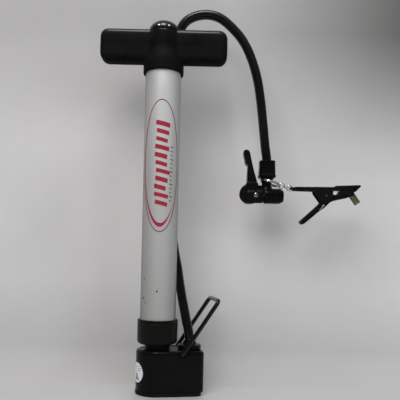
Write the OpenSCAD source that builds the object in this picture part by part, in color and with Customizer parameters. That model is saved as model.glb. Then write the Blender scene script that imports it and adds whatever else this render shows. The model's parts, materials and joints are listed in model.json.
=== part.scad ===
// Hand ball pump with a T-handle, a side hose, a cam-lever valve head,
// a chained clip adapter and a folding wire foot loop.
// Frame: millimetres, +Z up the barrel, origin on the barrel axis at the
// underside of the base, +X towards the hose side, +Y towards the back.

/* [Barrel] */
// Outside diameter of the barrel tube
barrel_od = 30; // [29.6:0.1:30]
// Wall thickness of the barrel tube
barrel_wall = 1; // [0.8:0.1:1.1]
// Height of the top end of the barrel tube
barrel_top = 276; // [272:1:276]
// Outside diameter of the lower collar
collar_od = 34; // [33:0.5:35]
// Height of the collar's underside
collar_z = 41.4; // [41.2:0.1:42]
// Height of the collar
collar_h = 20.6; // [18:0.2:22]

/* [Base] */
// Turn of the base about the barrel axis, degrees
base_yaw = 10; // [0:1:12]
// Radius of the base's round end, about the barrel axis
base_r = 17.5; // [17.2:0.1:17.6]
// Distance from the barrel axis to the base's flat end
base_len = 38; // [37.8:0.1:39]
// Height of the base block's top face
base_top = 37; // [36.8:0.1:37]
// Thickness of the bottom plate
plate_t = 3.2; // [2.8:0.1:3.2]
// Rounding of the block's top edge
base_round = 2.5; // [1.5:0.5:3]
// Distance from the barrel axis to the hose fitting
port_x = 27.6; // [27.4:0.1:27.8]
// Width of the hose fitting's flange
flange_d = 19.7; // [18:0.1:19.8]

/* [Foot loop] */
// Thickness of the loop's wire
loop_wire = 3.6; // [3.2:0.1:3.6]
// Length of the loop from pivot to cross bar
loop_len = 54; // [50:1:58]
// Distance of the loop's pivot from the barrel axis
loop_x = 18.6; // [18:0.1:19]
// Height of the loop's pivot
loop_z = 34.1; // [33.6:0.1:34.1]
// Rest angle of the loop above level, degrees
loop_ang = 56.4; // [40:0.2:60]

/* [Handle] */
// Overall length of the handle
handle_len = 106.8; // [96:0.2:112]
// Height of the handle's arms
arm_h = 27.2; // [26:0.2:28]
// Front to back depth of the arms
arm_d = 16; // [15:0.5:18]
// Rounding of the arms
arm_r = 7; // [5:0.5:8]
// Diameter of the hub
hub_d = 26.4; // [26:0.1:27]
// Height of the skirt's lower rim
skirt_z = 267.8; // [267.5:0.1:268.5]
// Outside diameter of the skirt
skirt_d = 34; // [33.6:0.1:34.4]

/* [Piston] */
// Diameter of the piston rod
rod_d = 8; // [7.6:0.1:8]
// Diameter of the rod's threaded ends
thread_d = 6; // [5.8:0.1:6]

/* [Hose] */
// Outside diameter of the hose
hose_od = 8; // [7.6:0.1:8.2]
// Bore of the hose
hose_id = 5; // [4.8:0.1:5]

/* [Valve head] */
// Diameter of the head's body
head_d = 13.2; // [13:0.1:13.4]
// Radius of the lever's cam
cam_r = 8.8; // [8.6:0.1:8.8]
// Width of the lever across its cheeks
lever_w = 13; // [12:0.5:14]
// Diameter of the valve opening
port_d = 8.2; // [8:0.1:8.4]

/* [Clip] */
// Width of the clip
clip_w = 9; // [8.6:0.2:9.4]
// Diameter of the brass nozzle
nozzle_d = 6; // [5.6:0.1:6.2]

/* [Hidden] */
$fn = 64;

black = [0.09, 0.09, 0.1];
rubber = [0.13, 0.13, 0.13];
gland_rubber = [0.25, 0.22, 0.2];
silver = [0.72, 0.73, 0.74];
steel = [0.62, 0.63, 0.65];
brass = [0.72, 0.6, 0.3];
label_white = [0.9, 0.9, 0.92];

// Clearances
seam = 0.02;  // between stacked faces
slip = 0.04;  // close fit of a part in its hole
loose = 0.06; // wider fit, on diameter

// Nuts on the rod's threaded ends
nut_flats = 10;
nut_h = 4.8;

// ---------- helpers ----------
// Points on an arc, or on an ellipse where the two radii differ
function arc(centre, radii, angles) =
  [for (a = angles) [centre.x + radii.x * cos(a), centre.y + radii.y * sin(a)]];
function unit(v) = v / norm(v);

// Catmull-Rom point between before and after, the middle two of four points
function curve_point(ahead, before, after, beyond, t) =
  0.5 * ((2 * before) + (after - ahead) * t
    + (2 * ahead - 5 * before + 4 * after - beyond) * t * t
    + (3 * before - ahead - 3 * after + beyond) * t * t * t);
// Smooth path through all but the first and last points, in equal steps
function spline(points, steps) = concat(
  [for (i = [1 : len(points) - 3]) for (k = [0 : steps - 1])
    curve_point(points[i - 1], points[i], points[i + 1], points[i + 2], k / steps)],
  [points[len(points) - 2]]);
function tangent(path, i) = unit(path[min(i + 1, len(path) - 1)] - path[max(i - 1, 0)]);

// Circle of points square to the path at station i
function ring(path, i, radius, sides) =
  let (along = tangent(path, i), u = unit(cross(along, [0.02, 1, 0.01])), v = cross(along, u))
  [for (k = [0 : sides - 1])
    path[i] + radius * (cos(360 * k / sides) * u + sin(360 * k / sides) * v)];
function rings(path, radius, sides) =
  [for (i = [0 : len(path) - 1]) each ring(path, i, radius, sides)];
// Triangles joining successive rings, from point index start on
function wall(start, count, sides, inward = false) =
  [for (i = [0 : count - 2]) for (k = [0 : sides - 1])
    let (a = start + i * sides + k, b = start + i * sides + (k + 1) % sides,
         c = b + sides, d = a + sides)
    each inward ? [[a, c, b], [a, d, c]] : [[a, b, c], [a, c, d]]];

// Solid round wire along a path
module sweep(path, radius, sides = 8) {
  count = len(path);
  polyhedron(
    points = rings(path, radius, sides),
    faces = concat(wall(0, count, sides),
      [[for (k = [sides - 1 : -1 : 0]) k]],
      [[for (k = [0 : sides - 1]) (count - 1) * sides + k]]),
    convexity = 8);
}
// Hollow tube along a path
module tube_sweep(path, outer_r, inner_r, sides = 20) {
  count = len(path);
  bore = count * sides;       // first point of the bore
  last = (count - 1) * sides; // last ring of the outside
  ends = [for (k = [0 : sides - 1]) let (next = (k + 1) % sides) each [
    [k, bore + next, next],
    [k, bore + k, bore + next],
    [last + k, last + next, bore + last + next],
    [last + k, bore + last + next, bore + last + k]]];
  polyhedron(
    points = concat(rings(path, outer_r, sides), rings(path, inner_r, sides)),
    faces = concat(wall(0, count, sides), wall(bore, count, sides, inward = true), ends),
    convexity = 8);
}

module torus(ring_r, wire_r) rotate_extrude() translate([ring_r, 0]) circle(wire_r, $fn = 24);
module tube(outer_r, inner_r, height) linear_extrude(height) difference() {
  circle(outer_r);
  circle(inner_r);
}
// Cylinder that starts at a place and runs along +X
module x_cylinder(place, d, h) translate(place) rotate([0, 90, 0]) cylinder(d = d, h = h);
// Disc square to Y: centre is [x, z], y is its mid-plane
module y_disc(centre, r, w, y = 0)
  translate([centre.x, y, centre.y]) rotate([90, 0, 0]) cylinder(r = r, h = w, center = true);
// Outline of [x, z] points given width w about y = 0
module xz_plate(w, outline) rotate([90, 0, 0]) linear_extrude(w, center = true) polygon(outline);
// Hexagonal nut with a round hole
module hex_nut(flats, hole, h) linear_extrude(h) difference() {
  circle(d = flats / cos(30), $fn = 6);
  circle(d = hole, $fn = 48);
}
// Disc standing on z = 0, rounded at the top rim
module round_disc(r, h, edge) rotate_extrude($fn = 48) polygon(concat(
  [[0, 0], [r, 0]], arc([r - edge, h - edge], [edge, edge], [0 : 22.5 : 90]), [[0, h]]));
// Disc rounded at both rims, centred on z = 0
module pad_disc(r, h, edge) rotate_extrude($fn = 32) polygon(concat(
  [[0, -h / 2]],
  arc([r - edge, -h / 2 + edge], [edge, edge], [-90 : 22.5 : 0]),
  arc([r - edge, h / 2 - edge], [edge, edge], [0 : 22.5 : 90]),
  [[0, h / 2]]));

// ---------- base ----------
corner_r = 5; // upright corners of the flat end
spigot_d = 18;
spigot_top = 53;
seat_d = 9;
seat_z = 49;
passage_z = 28;
plug_d = 6;
plug_depth = 5;
port_socket_d = 10;
port_socket_z = 30;
screw_d = 3;

module at_base() rotate([0, 0, base_yaw]) children();
module at_screws() for (x = [-6, port_x]) translate([x, 0, 0]) children();

module base_block() color(black) at_base() difference() {
  union() {
    translate([0, 0, plate_t]) hull() {
      round_disc(base_r, base_top - plate_t, base_round);
      for (s = [-1, 1]) translate([base_len - corner_r, s * (base_r - corner_r), 0])
        round_disc(corner_r, base_top - plate_t, base_round);
    }
    // neck under the collar
    translate([0, 0, base_top - 1]) cylinder(d = 21, h = collar_z - base_top + 1);
    // spigot up through the collar
    translate([0, 0, collar_z - 1]) cylinder(d = spigot_d, h = spigot_top - collar_z + 1);
  }
  // valve chamber, well and seat pocket
  translate([0, 0, 34]) cylinder(d = 7, h = 30);
  translate([0, 0, 26]) cylinder(d = 4.5, h = 9);
  translate([0, 0, seat_z]) cylinder(d = seat_d + slip, h = 9);
  // cross passage to the hose port, with a plug hole at the flat end
  x_cylinder([0, 0, passage_z], d = 4, h = base_len + 5);
  x_cylinder([base_len - plug_depth, 0, passage_z], d = plug_d + slip, h = 10);
  // hose port
  translate([port_x, 0, port_socket_z]) cylinder(d = port_socket_d, h = 20);
  translate([port_x, 0, 26]) cylinder(d = 6, h = 6);
  // foot loop pivots
  for (s = [-1, 1]) translate([loop_x, s * 9, loop_z]) rotate([-90 * s, 0, 0])
    cylinder(d = loop_wire + 0.1, h = 20);
  // screw pilots
  at_screws() cylinder(d = screw_d + slip, h = 16);
}

module bottom_plate() color(rubber) at_base() {
  plate_r = base_r + 0.3;
  corner_x = base_len - 7;
  difference() {
    linear_extrude(plate_t - 0.01) {
      circle(r = plate_r);
      translate([0, -plate_r]) square([corner_x, 2 * plate_r]);
      translate([base_len - 8, -base_r + 4.5]) square([6, 2 * base_r - 9]);
      for (s = [-1, 1]) translate([corner_x, s * (plate_r - corner_r)]) circle(r = corner_r);
    }
    // screw holes with head recesses
    at_screws() translate([0, 0, -1]) {
      cylinder(d = 3.2, h = 10);
      cylinder(d = 6.4, h = 2.6);
    }
  }
}

module base_screws() color(steel) at_base() at_screws() difference() {
  union() {
    translate([0, 0, 0.5]) cylinder(d = 5.8, h = 1.08);
    translate([0, 0, 0.5]) cylinder(d = screw_d, h = 14);
  }
  // cross slot
  translate([-0.4, -2, -1]) cube([0.8, 4, 2]);
  translate([-2, -0.4, -1]) cube([4, 0.8, 2]);
}

module passage_plug() color(brass) at_base()
  x_cylinder([base_len - plug_depth + seam, 0, passage_z], d = plug_d, h = 4.6);

// Thin oval label wrapped round the base's round end
module base_label() color(label_white) at_base() intersection() {
  translate([0, 0, 5]) tube(base_r + 0.16, base_r + 0.01, 30);
  rotate([0, 0, 199]) translate([0, 0, 18.3]) rotate([90, 0, 90]) linear_extrude(40)
    polygon(arc([0, 0], [8, 8.3], [0 : 10 : 350]));
}

module hose_fitting() color(black) at_base() translate([port_x, 0, 0]) difference() {
  flange_r = flange_d / 2;
  union() {
    translate([0, 0, port_socket_z + seam])
      cylinder(d = port_socket_d - slip, h = base_top - port_socket_z);
    translate([0, 0, base_top + seam]) rotate_extrude() polygon([
      [0, 0], [flange_r, 0], [flange_r, 2.8], [flange_r - 0.6, 3.4], [0, 3.4]]);
    translate([0, 0, base_top + 3]) cylinder(d = 11, h = 3.5);
    translate([0, 0, base_top + 6]) cylinder(d = hose_id - slip, h = 9);
  }
  translate([0, 0, 20]) cylinder(d = 3, h = 50);
}

// ---------- barrel ----------
barrel_id = barrel_od - 2 * barrel_wall;
collar_floor = collar_z + 4; // inside floor of the collar
barrel_bottom = collar_floor + 1.5;

module lower_collar() color(black) difference() {
  collar_r = collar_od / 2;
  collar_top = collar_z + collar_h;
  rotate_extrude() polygon(concat(
    [[0, collar_z + seam]],
    arc([collar_r - 3, collar_z + seam + 3], [3, 3], [-90 : 15 : 0]),
    [[collar_r, collar_top - 0.8], [collar_r - 0.8, collar_top], [0, collar_top]]));
  translate([0, 0, collar_z - 1]) cylinder(d = spigot_d + loose, h = 10);
  translate([0, 0, collar_floor]) cylinder(d = barrel_od + loose, h = 40);
}

module collar_lock_nut() color(steel)
  translate([0, 0, collar_floor + seam]) hex_nut(23, spigot_d + slip, 4);

module barrel_gasket() color(rubber) translate([0, 0, collar_floor + seam])
  tube(barrel_od / 2, 13.5, barrel_bottom - collar_floor - 2 * seam);

module barrel_tube() color(silver) translate([0, 0, barrel_bottom])
  tube(barrel_od / 2, barrel_id / 2, barrel_top - barrel_bottom);

module top_guide_cap() color(black) difference() {
  rim_r = barrel_od / 2;
  union() {
    translate([0, 0, barrel_top - 14]) cylinder(d = barrel_id - slip, h = 15);
    translate([0, 0, barrel_top + seam]) rotate_extrude()
      polygon([[0, 0], [rim_r, 0], [rim_r, 2], [rim_r - 0.8, 2.8], [0, 2.8]]);
  }
  translate([0, 0, barrel_top - 20]) cylinder(d = rod_d + 0.12, h = 40);
  // hollow underside round a central sleeve
  translate([0, 0, barrel_top - 15]) difference() {
    cylinder(d = barrel_id - 4, h = 12);
    translate([0, 0, -1]) cylinder(d = rod_d + 5, h = 20);
  }
  // vents
  for (s = [-1, 1]) translate([0, s * 9.5, barrel_top - 20]) cylinder(d = 3, h = 40, $fn = 24);
}

// ---------- check valve ----------
module valve_seat() color(brass) translate([0, 0, seat_z + seam]) difference() {
  cylinder(d = seat_d, h = spigot_top - seat_z - seam);
  translate([0, 0, -1]) cylinder(d = 3, h = 10);
}
module check_ball() color(steel) translate([0, 0, 46.62]) sphere(d = 5.5, $fn = 48);
module check_spring() {
  bottom = 34.4;
  top = 44.3;
  coil_r = 2.45;
  steps = 4.5 * 16; // turns by points per turn
  color(steel) sweep([for (i = [0 : steps])
    [coil_r * cos(i * 22.5), coil_r * sin(i * 22.5), bottom + (top - bottom) * i / steps]], 0.3);
}

// ---------- piston and rod ----------
cup_bottom = 57;
cup_web_z = 65; // underside of the cup's web
cup_top = 67.2;
piston_bore_r = 3.1;
piston_plate_t = 2;
shoulder_z = cup_top + piston_plate_t + 0.06; // lower end of the full rod
shoulder_top = 290;                           // upper end of the full rod

module piston_cup() color(rubber) rotate_extrude() polygon([
  [piston_bore_r, cup_web_z], [11.9, cup_web_z], [12.3, 64], [12.3, cup_bottom],
  [barrel_id / 2 - 0.05, cup_bottom], [barrel_id / 2 - 0.05, 65.4],
  [barrel_id / 2 - 1.6, cup_top], [piston_bore_r, cup_top]]);
module piston_plate_upper() color(steel)
  translate([0, 0, cup_top + seam]) tube(12, piston_bore_r, piston_plate_t);
module piston_plate_lower() color(steel)
  translate([0, 0, 62.96]) tube(11.6, piston_bore_r, 2.02);
module piston_rod() color(steel) {
  translate([0, 0, 57.6]) cylinder(d = thread_d, h = 13);
  translate([0, 0, shoulder_z]) cylinder(d = rod_d, h = shoulder_top - shoulder_z);
  translate([0, 0, shoulder_top - 1]) cylinder(d = thread_d, h = 9.3);
}
module piston_nut() color(steel)
  translate([0, 0, 58.1]) hex_nut(nut_flats, thread_d + slip, nut_h);

// ---------- handle ----------
arm_mid = 291.2;
arm_bottom = arm_mid - arm_h / 2;
dome_z = 302.5;
dome_top = 312.7;
bumper_r = 8;
bumper_z = 279.4;
bumper_h = 3.5;
nut_pocket_d = 16;
nut_pocket_z = 292;
washer_t = 1.2;

module rod_bumper() color(rubber)
  translate([0, 0, bumper_z]) tube(bumper_r, rod_d / 2 + slip, bumper_h);
module rod_top_washer() color(steel)
  translate([0, 0, nut_pocket_z + seam]) tube(6.5, thread_d / 2 + slip, washer_t);
module rod_top_nut() color(steel) translate([0, 0, nut_pocket_z + washer_t + 2 * seam])
  hex_nut(nut_flats, thread_d + slip, nut_h);

module handle_body() color(black) difference() {
  union() {
    // arms
    hull() for (x = [-1, 1]) for (z = [-1, 1])
      translate([x * (handle_len / 2 - arm_r), 0, arm_mid + z * (arm_h / 2 - arm_r)])
        rotate([90, 0, 0]) pad_disc(arm_r, arm_d, arm_r - 1.5);
    // skirt and hub
    rotate_extrude() polygon(concat(
      [[0, skirt_z], [skirt_d / 2 - 0.3, skirt_z], [skirt_d / 2, skirt_z + 0.4],
       [skirt_d / 2, arm_bottom + 1]],
      arc([hub_d / 2, arm_bottom + 1], [(skirt_d - hub_d) / 2, 5], [0 : 15 : 90]),
      [[hub_d / 2, dome_z - seam], [0, dome_z - seam]]));
  }
  // skirt cavity over the barrel
  translate([0, 0, skirt_z - 1]) cylinder(d = barrel_od + 1, h = 279.9 - skirt_z + 1);
  // pocket of the rod bumper
  translate([0, 0, bumper_z - 0.4]) cylinder(d = 2 * bumper_r + slip, h = bumper_h + 0.4 + seam);
  // rod socket and nut pocket
  translate([0, 0, 270]) cylinder(d = rod_d + slip, h = shoulder_top + seam - 270);
  translate([0, 0, 270]) cylinder(d = thread_d + loose, h = 40);
  translate([0, 0, nut_pocket_z]) cylinder(d = nut_pocket_d, h = 40);
  // seat of the dome cap
  translate([0, 0, dome_z - seam]) cylinder(d = hub_d + loose, h = 10);
}
module handle_dome_cap() color(black) {
  rotate_extrude() polygon(concat([[0, dome_z], [hub_d / 2, dome_z]],
    arc([0, dome_z], [hub_d / 2, dome_top - dome_z], [0 : 10 : 90])));
  translate([0, 0, dome_z - 4]) cylinder(d = nut_pocket_d - slip, h = 5);
}

// ---------- foot loop ----------
// Built lying along +X from its pivot, then raised to its rest angle
module foot_loop() color(black) at_base() translate([loop_x, 0, loop_z])
  rotate([0, -loop_ang, 0]) {
    wire_r = loop_wire / 2;
    half_width = base_r + 2.1;
    pivot_y = 11;     // inner end of each pivot
    pivot_bend = 2.2; // bend from pivot end to leg
    bar_bend = 4.5;   // bend from leg to cross bar
    for (s = [-1, 1]) mirror([0, s < 0 ? 1 : 0, 0]) {
      // pivot end
      translate([0, pivot_y, 0]) rotate([-90, 0, 0])
        cylinder(r = wire_r, h = half_width - pivot_bend - pivot_y);
      translate([pivot_bend, half_width - pivot_bend, 0]) rotate([0, 0, 90])
        rotate_extrude(angle = 90) translate([pivot_bend, 0]) circle(wire_r, $fn = 32);
      // leg
      translate([pivot_bend, half_width, 0]) rotate([0, 90, 0])
        cylinder(r = wire_r, h = loop_len - pivot_bend - bar_bend);
      translate([loop_len - bar_bend, half_width - bar_bend, 0])
        rotate_extrude(angle = 90) translate([bar_bend, 0]) circle(wire_r, $fn = 32);
    }
    // cross bar
    y_disc([loop_len, 0], wire_r, 2 * (half_width - bar_bend));
  }

// ---------- hose ----------
port_px = port_x * cos(base_yaw);
port_py = port_x * sin(base_yaw);
// Centreline stations [x, y, z]; the first and last only steer the curve
hose_stations = [
  [port_px + 0.4, port_py, 34], [port_px, port_py, base_top + 6.7],
  [26.2, 5.2, 51], [23.2, 7.3, 63.8], [20.2, 10.2, 77.4], [17.5, 13.3, 91],
  [15.1, 16.3, 105], [12.1, 18.8, 119], [9.6, 20.2, 136], [8, 20.7, 165],
  [7.4, 20.7, 205], [7.4, 20.7, 250], [8.6, 20.8, 285], [11.2, 20.8, 310],
  [15.6, 20.7, 321.6], [24.6, 20.6, 327.8], [36, 20.5, 329.8], [47, 20.2, 327],
  [57.2, 19.7, 319.2], [67.6, 18.9, 307], [75.6, 18, 291], [81.3, 16.8, 271.8],
  [84.6, 15.7, 252], [86.9, 14.5, 232], [88.9, 13.2, 213], [90.6, 12.55, 200.5],
  [90.9, 12.5, 187.4], [90.9, 12.5, 175]];
hose_steps = 3;
hose_path = spline(hose_stations, hose_steps);
// Path indices where one length of hose gives way to the next
joint_1 = hose_steps * 17;
joint_2 = hose_steps * 22;

function path_part(first, last) = [for (i = [first : last]) hose_path[i]];
// End of a length held back from a joint, so the lengths never touch
function joint_end(joint, side) =
  hose_path[joint] + unit(hose_path[joint + side] - hose_path[joint]) * 1.2;
module hose(path) color(rubber) tube_sweep(path, hose_od / 2, hose_id / 2);

module hose_lower() hose(concat(path_part(0, joint_1 - 1), [joint_end(joint_1, -1)]));
module hose_middle() hose(concat([joint_end(joint_1, 1)],
  path_part(joint_1 + 1, joint_2 - 1), [joint_end(joint_2, -1)]));
module hose_upper() hose(concat([joint_end(joint_2, 1)],
  path_part(joint_2 + 1, len(hose_path) - 1)));

// ---------- valve head ----------
head_y = 12.5;
head_z = 169.4; // axis of the head, which lies along X
neck_x = 90.9;
body_left = 88.6;
body_right = 101;
cap_right = 105.5;
lever_axis = [81.3, head_z]; // [x, z] of the lever pin
tongue_r = 3.3;
stem_y = 4.2;
cap_plug_len = 3;
gland_left = 93.2;

module at_head() translate([0, head_y, 0]) children();

module head_body() color(black) at_head() difference() {
  union() {
    x_cylinder([body_left, 0, head_z], d = head_d, h = body_right - body_left);
    // left tongue for the lever pin
    y_disc(lever_axis, tongue_r, 5);
    translate([lever_axis.x, -2.5, head_z - tongue_r])
      cube([body_left - lever_axis.x + 1, 5, 2 * tongue_r]);
    // neck and barb
    translate([neck_x, 0, head_z]) cylinder(d = 8.6, h = 14.9);
    translate([neck_x, 0, head_z + 14]) cylinder(d = hose_id - slip, h = 14);
  }
  y_disc(lever_axis, 1.54, 20);
  // main bore, open to the right
  x_cylinder([body_left + 1.8, 0, head_z], d = 10.2, h = 30);
  // holes for the plunger stems through the left end wall
  for (s = [-1, 1]) x_cylinder([80, s * stem_y, head_z], d = 2.2, h = 15, $fn = 24);
  // air way from the barb
  translate([neck_x, 0, head_z]) cylinder(d = 2.6, h = 40);
}

module hose_nut() color(black) at_head() translate([neck_x, 0, 184.4]) difference() {
  rotate_extrude() polygon([
    [0, 0], [6.6, 0], [7.6, 0.7], [7.6, 2.2], [7.2, 2.8], [6.75, 14.2], [6.2, 15.2], [0, 15.2]]);
  // hose socket
  translate([0, 0, 2.6]) cylinder(d = hose_od + 0.3, h = 20);
  translate([0, 0, -1]) cylinder(d = 5.1, h = 20);
}

// Ring that closes the right end and holds the gland
module gland_cap() color(black) at_head() difference() {
  cap_t = cap_right - body_right - seam;
  union() {
    translate([body_right + seam, 0, head_z]) rotate([0, 90, 0]) rotate_extrude()
      polygon([[0, 0], [head_d / 2, 0], [head_d / 2, 0.9], [5.1, cap_t], [0, cap_t]]);
    x_cylinder([body_right - cap_plug_len, 0, head_z], d = 10.14, h = 4);
  }
  x_cylinder([80, 0, head_z], d = port_d, h = 40);
}
module rubber_gland() color(gland_rubber) at_head()
  translate([gland_left, 0, head_z]) rotate([0, 90, 0])
    tube(5, 4.5, body_right - cap_plug_len - seam - gland_left);
// Pressure ring with two stems that meet the lever's cam
module gland_plunger() color(steel) at_head() {
  translate([91.3, 0, head_z]) rotate([0, 90, 0]) tube(5, 3.2, 1.15);
  for (s = [-1, 1]) x_cylinder([85.04, s * stem_y, head_z], d = 2, h = 6.6, $fn = 24);
}

// Side outline of the thumb arm [x, z]
lever_arm = [
  [73.7, 176], [73.6, 180], [73.8, 190], [74, 195.6], [72.4, 196.2], [71.1, 202],
  [69.9, 206.8], [70.6, 208.3], [72.2, 208.8], [74.6, 207.9], [75.5, 206.4], [76.5, 202.2],
  [77.9, 196], [79.5, 190], [81.1, 185.2], [82.1, 181.6], [82.4, 178.4], [82.4, 174]];
module cam_lever() color(black) at_head() difference() {
  cheek_t = 1.1;
  slot_w = 5.2;
  union() {
    y_disc([76.2, 170.8], cam_r, lever_w);
    // outer cheeks, round about the pin
    for (s = [-1, 1]) y_disc(lever_axis, 6.5, cheek_t, y = s * (lever_w - cheek_t) / 2);
    xz_plate(10.4, lever_arm);
  }
  // slot over the head's tongue
  translate([66, -slot_w / 2, head_z - 3.6]) cube([30, slot_w, 7.2]);
  y_disc(lever_axis, 3.9, slot_w);
  translate([74, -slot_w / 2, 158]) cube([20, slot_w, 15]);
  y_disc(lever_axis, 1.56, 30);
  // flat underside of the cam
  translate([60, -10, 150]) cube([40, 20, head_z - 7.1 - 150]);
  // recesses round the pin ends
  for (s = [-1, 1]) y_disc(lever_axis, 3, 1.6, y = s * lever_w / 2);
}
module lever_pin() color(steel) at_head() y_disc(lever_axis, 1.5, lever_w - 1);

// ---------- neck ring and chain ----------
// Centres are [x, z]
link_1 = [104.1, 178.5];
link_3 = [110.95, 176.7];
link_2 = (link_1 + link_3) / 2;
link_wire_r = 0.45;
chain_slope = atan2(link_1.y - link_3.y, link_3.x - link_1.x);

module steel_ring(centre, turn, ring_r, wire_r = link_wire_r) color(steel) at_head()
  translate([centre.x, 0, centre.y]) rotate(turn) torus(ring_r, wire_r);
module neck_ring() steel_ring([94.3, 180.9], [0, 16, 0], 9, 0.65);
module chain_link_1() steel_ring(link_1, [90, 0, 0], 2.5);
module chain_link_2() steel_ring(link_2, [0, chain_slope, 0], 2.4);
module chain_link_3() steel_ring(link_3, [90, 0, 0], 2.4);

// ---------- clip ----------
// Places and outlines are [x, z]
clip_pivot = [142.5, 170.5];
clip_inner_w = 6.4; // width between the cheeks
eye_x = 113.35;
nozzle_shank_d = 4;
nozzle_dir = [0.578, -0.816];

// Thumb arm on the left, jaw on the right
upper_arm_outline = [
  [113.8, 174.6], [134, 174.6], [148.9, 174.9], [149.5, 175.5], [166.4, 175.4],
  [167.6, 174.6], [172.2, 178.7], [172.2, 179.6], [171.4, 180], [150, 179],
  [148.6, 177.9], [134, 177.7], [115, 177.5], [113.8, 177.3]];
eye_lug_outline = [[111, 175.8], [114.4, 175.8], [114.4, 177.4], [111, 177.4]];
cheek_outline = [
  [131.4, 175], [131.8, 172.8], [134.2, 169.4], [136.6, 166.2], [138.2, 164],
  [143.4, 163.3], [145.6, 165.6], [148, 168.6], [148, 175]];
lower_hub_outline = [
  [139.4, 168], [136.4, 163.4], [129.8, 157.1], [132.3, 153.4], [141.5, 160.4],
  [145.5, 164.4], [149.9, 167], [149.9, 171], [146.2, 173.4], [143, 174.1]];
lower_jaw_outline = [
  [150.2, 166.9], [161.2, 169.4], [165.6, 171.4], [166.2, 174.4], [165.6, 175.1],
  [153.9, 175.1], [152.3, 172], [150.2, 171.1]];
// Bridge from hub to jaw
bridge_outline = [[149, 166.8], [151.5, 167.2], [151.5, 171.4], [149, 171.4]];
finger_outline = [
  [131, 158.2], [120.5, 148.4], [120.6, 146.8], [122.2, 145.4], [125, 147], [133, 154]];

module at_pivot() translate([clip_pivot.x, 0, clip_pivot.y]) children();
// Frame with +Z along the nozzle
module at_nozzle() translate([165.1, 0, 172.04])
  rotate([0, 180 - atan2(nozzle_dir.x, -nozzle_dir.y), 0]) children();

module clip_upper_arm() color(black) at_head() difference() {
  cheek_t = 1.1;
  union() {
    xz_plate(clip_w, upper_arm_outline);
    xz_plate(clip_w - 3, eye_lug_outline);
    // cheeks round the pivot
    for (s = [-1, 1]) translate([0, s * (clip_w - cheek_t) / 2, 0])
      xz_plate(cheek_t, cheek_outline);
  }
  // chain eye, wider below
  translate([eye_x, 0, 170]) cylinder(d = 2.3, h = 12, $fn = 24);
  translate([eye_x, 0, 170]) cylinder(d = 5.4, h = 5.8, $fn = 24);
  y_disc(clip_pivot, 1.27, 20);
  // small cross hole and upright hole in the jaw
  y_disc([156.6, 177.2], 0.8, 20);
  translate([169.2, 0, 170]) cylinder(d = 3.4, h = 20, $fn = 24);
}
module clip_lower_arm() color(black) at_head() difference() {
  spring_w = 2.8;
  union() {
    // hub between the cheeks
    y_disc(clip_pivot, 3.9, clip_inner_w);
    xz_plate(clip_inner_w, lower_hub_outline);
    xz_plate(clip_w, lower_jaw_outline);
    xz_plate(clip_inner_w, bridge_outline);
    // boss round the nozzle's foot
    at_nozzle() translate([0, 0, -1.2]) cylinder(d = nozzle_d - 0.8, h = 2);
    xz_plate(clip_w, finger_outline);
  }
  // spring slot and pivot hole
  y_disc(clip_pivot, 3.5, spring_w);
  translate([130, -spring_w / 2, 161.8]) cube([14, spring_w, 16]);
  y_disc(clip_pivot, 1.3, 20);
  // socket for the nozzle
  at_nozzle() translate([0, 0, -2.8]) cylinder(d = nozzle_shank_d + slip, h = 20);
}
module clip_pin() color(steel) at_head() y_disc(clip_pivot, 1.25, clip_w + 0.6);
// Torsion spring: a coil round the pin between two legs
module clip_spring() {
  coil_r = 2.3;
  steps = 28;
  coil = [for (i = [0 : steps]) let (a = 84 - i * 30)
    [coil_r * cos(a), 0.95 - 1.9 * i / steps, coil_r * sin(a)]];
  color(steel) at_head() at_pivot() sweep(concat(
    [[-8, 1, 3.4], [-4, 1, 3]], coil, [[0.6, -0.97, -3.2], [-3, -0.97, -7.6]]), 0.35);
}
module brass_nozzle() color(brass) at_head() at_nozzle() difference() {
  union() {
    translate([0, 0, -2.6]) cylinder(d = nozzle_shank_d, h = 6);
    translate([0, 0, 0.82]) cylinder(d = nozzle_d, h = 8.4);
  }
  translate([0, 0, -5]) cylinder(d = 2, h = 20);
}

base_block();
bottom_plate();
base_screws();
passage_plug();
base_label();
hose_fitting();
lower_collar();
collar_lock_nut();
barrel_gasket();
barrel_tube();
top_guide_cap();
valve_seat();
check_ball();
check_spring();
piston_cup();
piston_plate_upper();
piston_plate_lower();
piston_rod();
piston_nut();
rod_bumper();
rod_top_nut();
rod_top_washer();
handle_body();
handle_dome_cap();
foot_loop();
hose_lower();
hose_middle();
hose_upper();
head_body();
hose_nut();
gland_cap();
rubber_gland();
gland_plunger();
cam_lever();
lever_pin();
neck_ring();
chain_link_1();
chain_link_2();
chain_link_3();
clip_upper_arm();
clip_lower_arm();
clip_pin();
clip_spring();
brass_nozzle();
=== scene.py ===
import bmesh
import bpy
import json
import math
from mathutils import Matrix, Vector

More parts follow.
